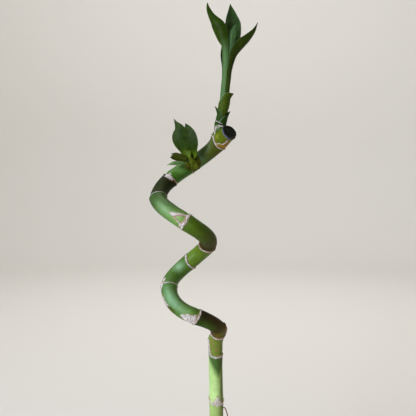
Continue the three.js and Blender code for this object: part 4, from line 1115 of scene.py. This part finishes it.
def buildPebbles():
    ball, ballFaces = ballMesh(pebbles["detail"])
    random = np.random.default_rng(pebbles["seed"])
    points, faces, stoneTone, stonePlace = [], [], [], []
    golden = math.pi * (3 - math.sqrt(5))

    def addStone(x, y, z, sizes, tone, turn):
        bumps = 1 + 0.07 * noiseAt(ball, 1.1, tone * 40) + 0.03 * noiseAt(ball, 2.6, tone * 90)
        stone = ball * bumps[:, None] * np.array(sizes)
        c, s = math.cos(turn), math.sin(turn)
        turned = np.stack([stone[:, 0] * c - stone[:, 1] * s, stone[:, 0] * s + stone[:, 1] * c, stone[:, 2]], 1)
        faces.extend((ballFaces + len(points) * len(ball)).tolist())
        points.append(turned + np.array([x, y, z]))
        stoneTone.append(np.full(len(ball), tone))
        stonePlace.append(ball * 4 + tone * 50)

    for layer in range(pebbles["layers"]):
        for i in range(pebbles["stones"] + 12 * layer):
            reach = pebbles["spacing"] * math.sqrt(i + 0.6) * (1 - 0.09 * layer)
            turn = i * golden + 0.9 * layer
            wallRoom = pebbles["insideTop"] - 0.5 * layer - reach
            caneRoom = reach - pebbles["caneRoom"]
            size = min(pebbles["stoneRadius"] * (0.92 - 0.1 * layer), wallRoom, caneRoom)
            if size < pebbles["smallest"]:
                continue
            rise = pebbles["stoneRise"] * (1 + 0.18 * math.sin(2.4 * i))
            flatness = 0.82 + 0.12 * random.random()
            top = pebbles["top"] + rise - pebbles["layerDrop"] * layer - (pebbles["stoneRadius"] - size) * 0.5
            addStone(reach * math.cos(turn), reach * math.sin(turn), top - size * flatness,
                     (size * 0.99, size * (0.82 + 0.15 * random.random()), size * flatness * 0.95),
                     random.random(), random.random() * math.pi)
    return addPiece("pebbles", np.vstack(points), faces, ["pebbles"], "stone",
                    {"stoneTone": np.concatenate(stoneTone), "stonePlace": np.vstack(stonePlace)})


# River pebbles: tumbled smooth, each its own grey, buff or slate, with faint veins
def pebbleMaterial():
    add, finish = newMaterial("riverPebble")
    look = {"stops": [(0, "#6d6a64"), (0.25, "#9a948a"), (0.5, "#b9ae9b"), (0.72, "#857a6c"), (0.9, "#d6cfc2"),
                      (1, "#5b5f60")], "veinScale": 1.4, "veinShare": 0.22}
    tone = add("Attribute", output="Fac", attribute_name="stoneTone")
    place = add("Attribute", output="Vector", attribute_name="stonePlace")
    grain = add("TexNoise", {"Vector": place, "Scale": look["veinScale"], "Detail": 6})
    level = add("Math", {0: grain, 1: look["veinShare"], 2: tone}, operation="MULTIPLY_ADD")
    level = add("Math", {0: level, 1: look["veinShare"] / 2}, operation="SUBTRACT", use_clamp=True)
    colour = add("ValToRGB", {"Fac": level})
    stops = colour.node.color_ramp.elements
    stops.remove(stops[-1])
    stops[0].color = linear(look["stops"][0][1])
    for at, code in look["stops"][1:]:
        stops.new(at).color = linear(code)
    bump = add("Bump", {"Height": grain, "Strength": 0.15, "Distance": 0.0005})
    return finish(Base_Color=colour, Roughness=0.5, Normal=bump, IOR=1.5)


buildPebbles().data.materials.append(pebbleMaterial())

# fine roots: the first leaves the cane at its lowest ring in view, the others lie among the pebbles
roots = {
    "lines": [
        [(6, -0.6, 152.9), (7.3, -0.9, 152.8), (8.5, -1.1, 150.6), (10.1, -1.2, 145), (11.6, -1.6, 133),
         (11.9, -2.2, 119), (10.8, -3, 107)],
        [(-5.9, -2.2, 119), (-8.4, -3.2, 116), (-11.5, -5.4, 109.5), (-13.5, -7.4, 106.6)],
        [(4.8, 4.2, 117), (7.4, 6.6, 113), (9.8, 9.4, 107.4)],
        [(-1.2, 6.2, 114.5), (-2.4, 9.2, 111), (-4.4, 12.6, 106.8)],
    ],
    "radius": 0.45, "sides": 10, "step": 0.7,
}


def buildRoots():
    points, faces, start = [], [], 0
    for n, line in enumerate(roots["lines"]):
        curve = curveThrough(line, 30)
        length = lengthsAlong(curve)[-1]
        s = np.linspace(0, length, int(length / roots["step"]) + 1)
        centre, along = alongLine(curve, s)
        across, aside = carriedFrames(along, (0.3, -0.8, 0.2))
        wobble = noiseAt(centre, 0.35, n * 9)[:, None] * 0.35
        centre = centre + across * wobble * smooth(s / 6)[:, None]
        radius = roots["radius"] * (1.15 - 0.5 * s / length)
        ringPoints = centre[:, None] + radius[:, None, None] * spokes(across, aside, circle(roots["sides"]))
        points.append(withMiddles(ringPoints))
        faces += tubeFaces(len(s), roots["sides"], start)
        start += len(points[-1])
    return addPiece("fine_roots", np.vstack(points), faces, (), "bract")


# Root bark: thin, dry and brown with a dull skin
def rootMaterial():
    add, finish = newMaterial("rootBark")
    look = {"brown": "#8c5a2c", "dark": "#5a3a1c", "grainScale": 900}   # a grain of 1.1 mm
    place = add("TexCoord", output="Object")
    grain = add("TexNoise", {"Vector": place, "Scale": look["grainScale"], "Detail": 3})
    colour = add("Mix", {0: grain, 6: look["brown"], 7: look["dark"]}, data_type="RGBA")
    return finish(Base_Color=colour, Roughness=0.75, IOR=1.45)


buildRoots().data.materials.append(rootMaterial())
print("vase, pebbles and roots made")


# studio: a pale round cove, one large soft light from the upper left, weak fill

studio = {
    "floor": "#e2e0dc", "radius": 2.4, "curve": 0.9, "height": 2.6, "sides": 96, "drop": 0.0005,
    "air": "#f4ecd9", "airStrength": 0.19,
    # name, place, aim, size, power, colour, spread
    "lights": [
        # a grid keeps the key off the floor
        ("keySoftbox", (-1.05, -1.15, 0.72), (0, 0, 0.34), 0.75, 9.8, "#ecf2ff", 105),
        ("fillSoftbox", (1.3, -0.9, 0.6), (0, 0, 0.3), 1.2, 2.2, "#ffdc94", 180),
        ("topSoftbox", (0.1, 0.7, 1.9), (0, 0, 0.3), 1.4, 6, "#fffaf0", 180),
        ("backdropWash", (0, 0.9, 2.5), (0, 3.3, 0.7), 2.2, 48, "#ffffff", 180),
    ],
}


def buildStudio():
    radius, curve, sides = studio["radius"], studio["curve"], studio["sides"]
    rows = [(radius * i / 10, 0) for i in range(1, 11)]
    for i in range(1, 17):
        a = math.pi / 2 * i / 16
        rows.append((radius + curve * math.sin(a), curve * (1 - math.cos(a))))
    rows.append((radius + curve, studio["height"]))
    points = turnedRings(rows, sides).reshape(-1, 3) - (0, 0, studio["drop"])
    inward = [[a, d, c, b] for a, b, c, d in gridFaces(len(rows), sides)]   # they look into the room
    cove = makeMesh("studioCove", points, inward + [range(sides)])
    _, finish = newMaterial("matteStudioPaper")
    cove.data.materials.append(finish(Base_Color=studio["floor"], Roughness=0.9))


def addLight(name, place, aim, size, power, colour, spread):
    light = bpy.data.objects.new(name, bpy.data.lights.new(name, "AREA"))
    light.data.shape = "DISK"
    light.data.size = size
    light.data.energy = power
    light.data.spread = math.radians(spread)
    light.data.color = linear(colour)[:3]
    light.location = place
    light.rotation_euler = (Vector(aim) - Vector(place)).to_track_quat("-Z", "Y").to_euler()
    bpy.context.scene.collection.objects.link(light)


buildStudio()
for row in studio["lights"]:
    addLight(*row)
world = bpy.data.worlds.new("studioAir")
bpy.context.scene.world = world
world.use_nodes = True
air = world.node_tree.nodes["Background"].inputs
air["Color"].default_value = linear(studio["air"])
air["Strength"].default_value = studio["airStrength"]
print("studio lit")
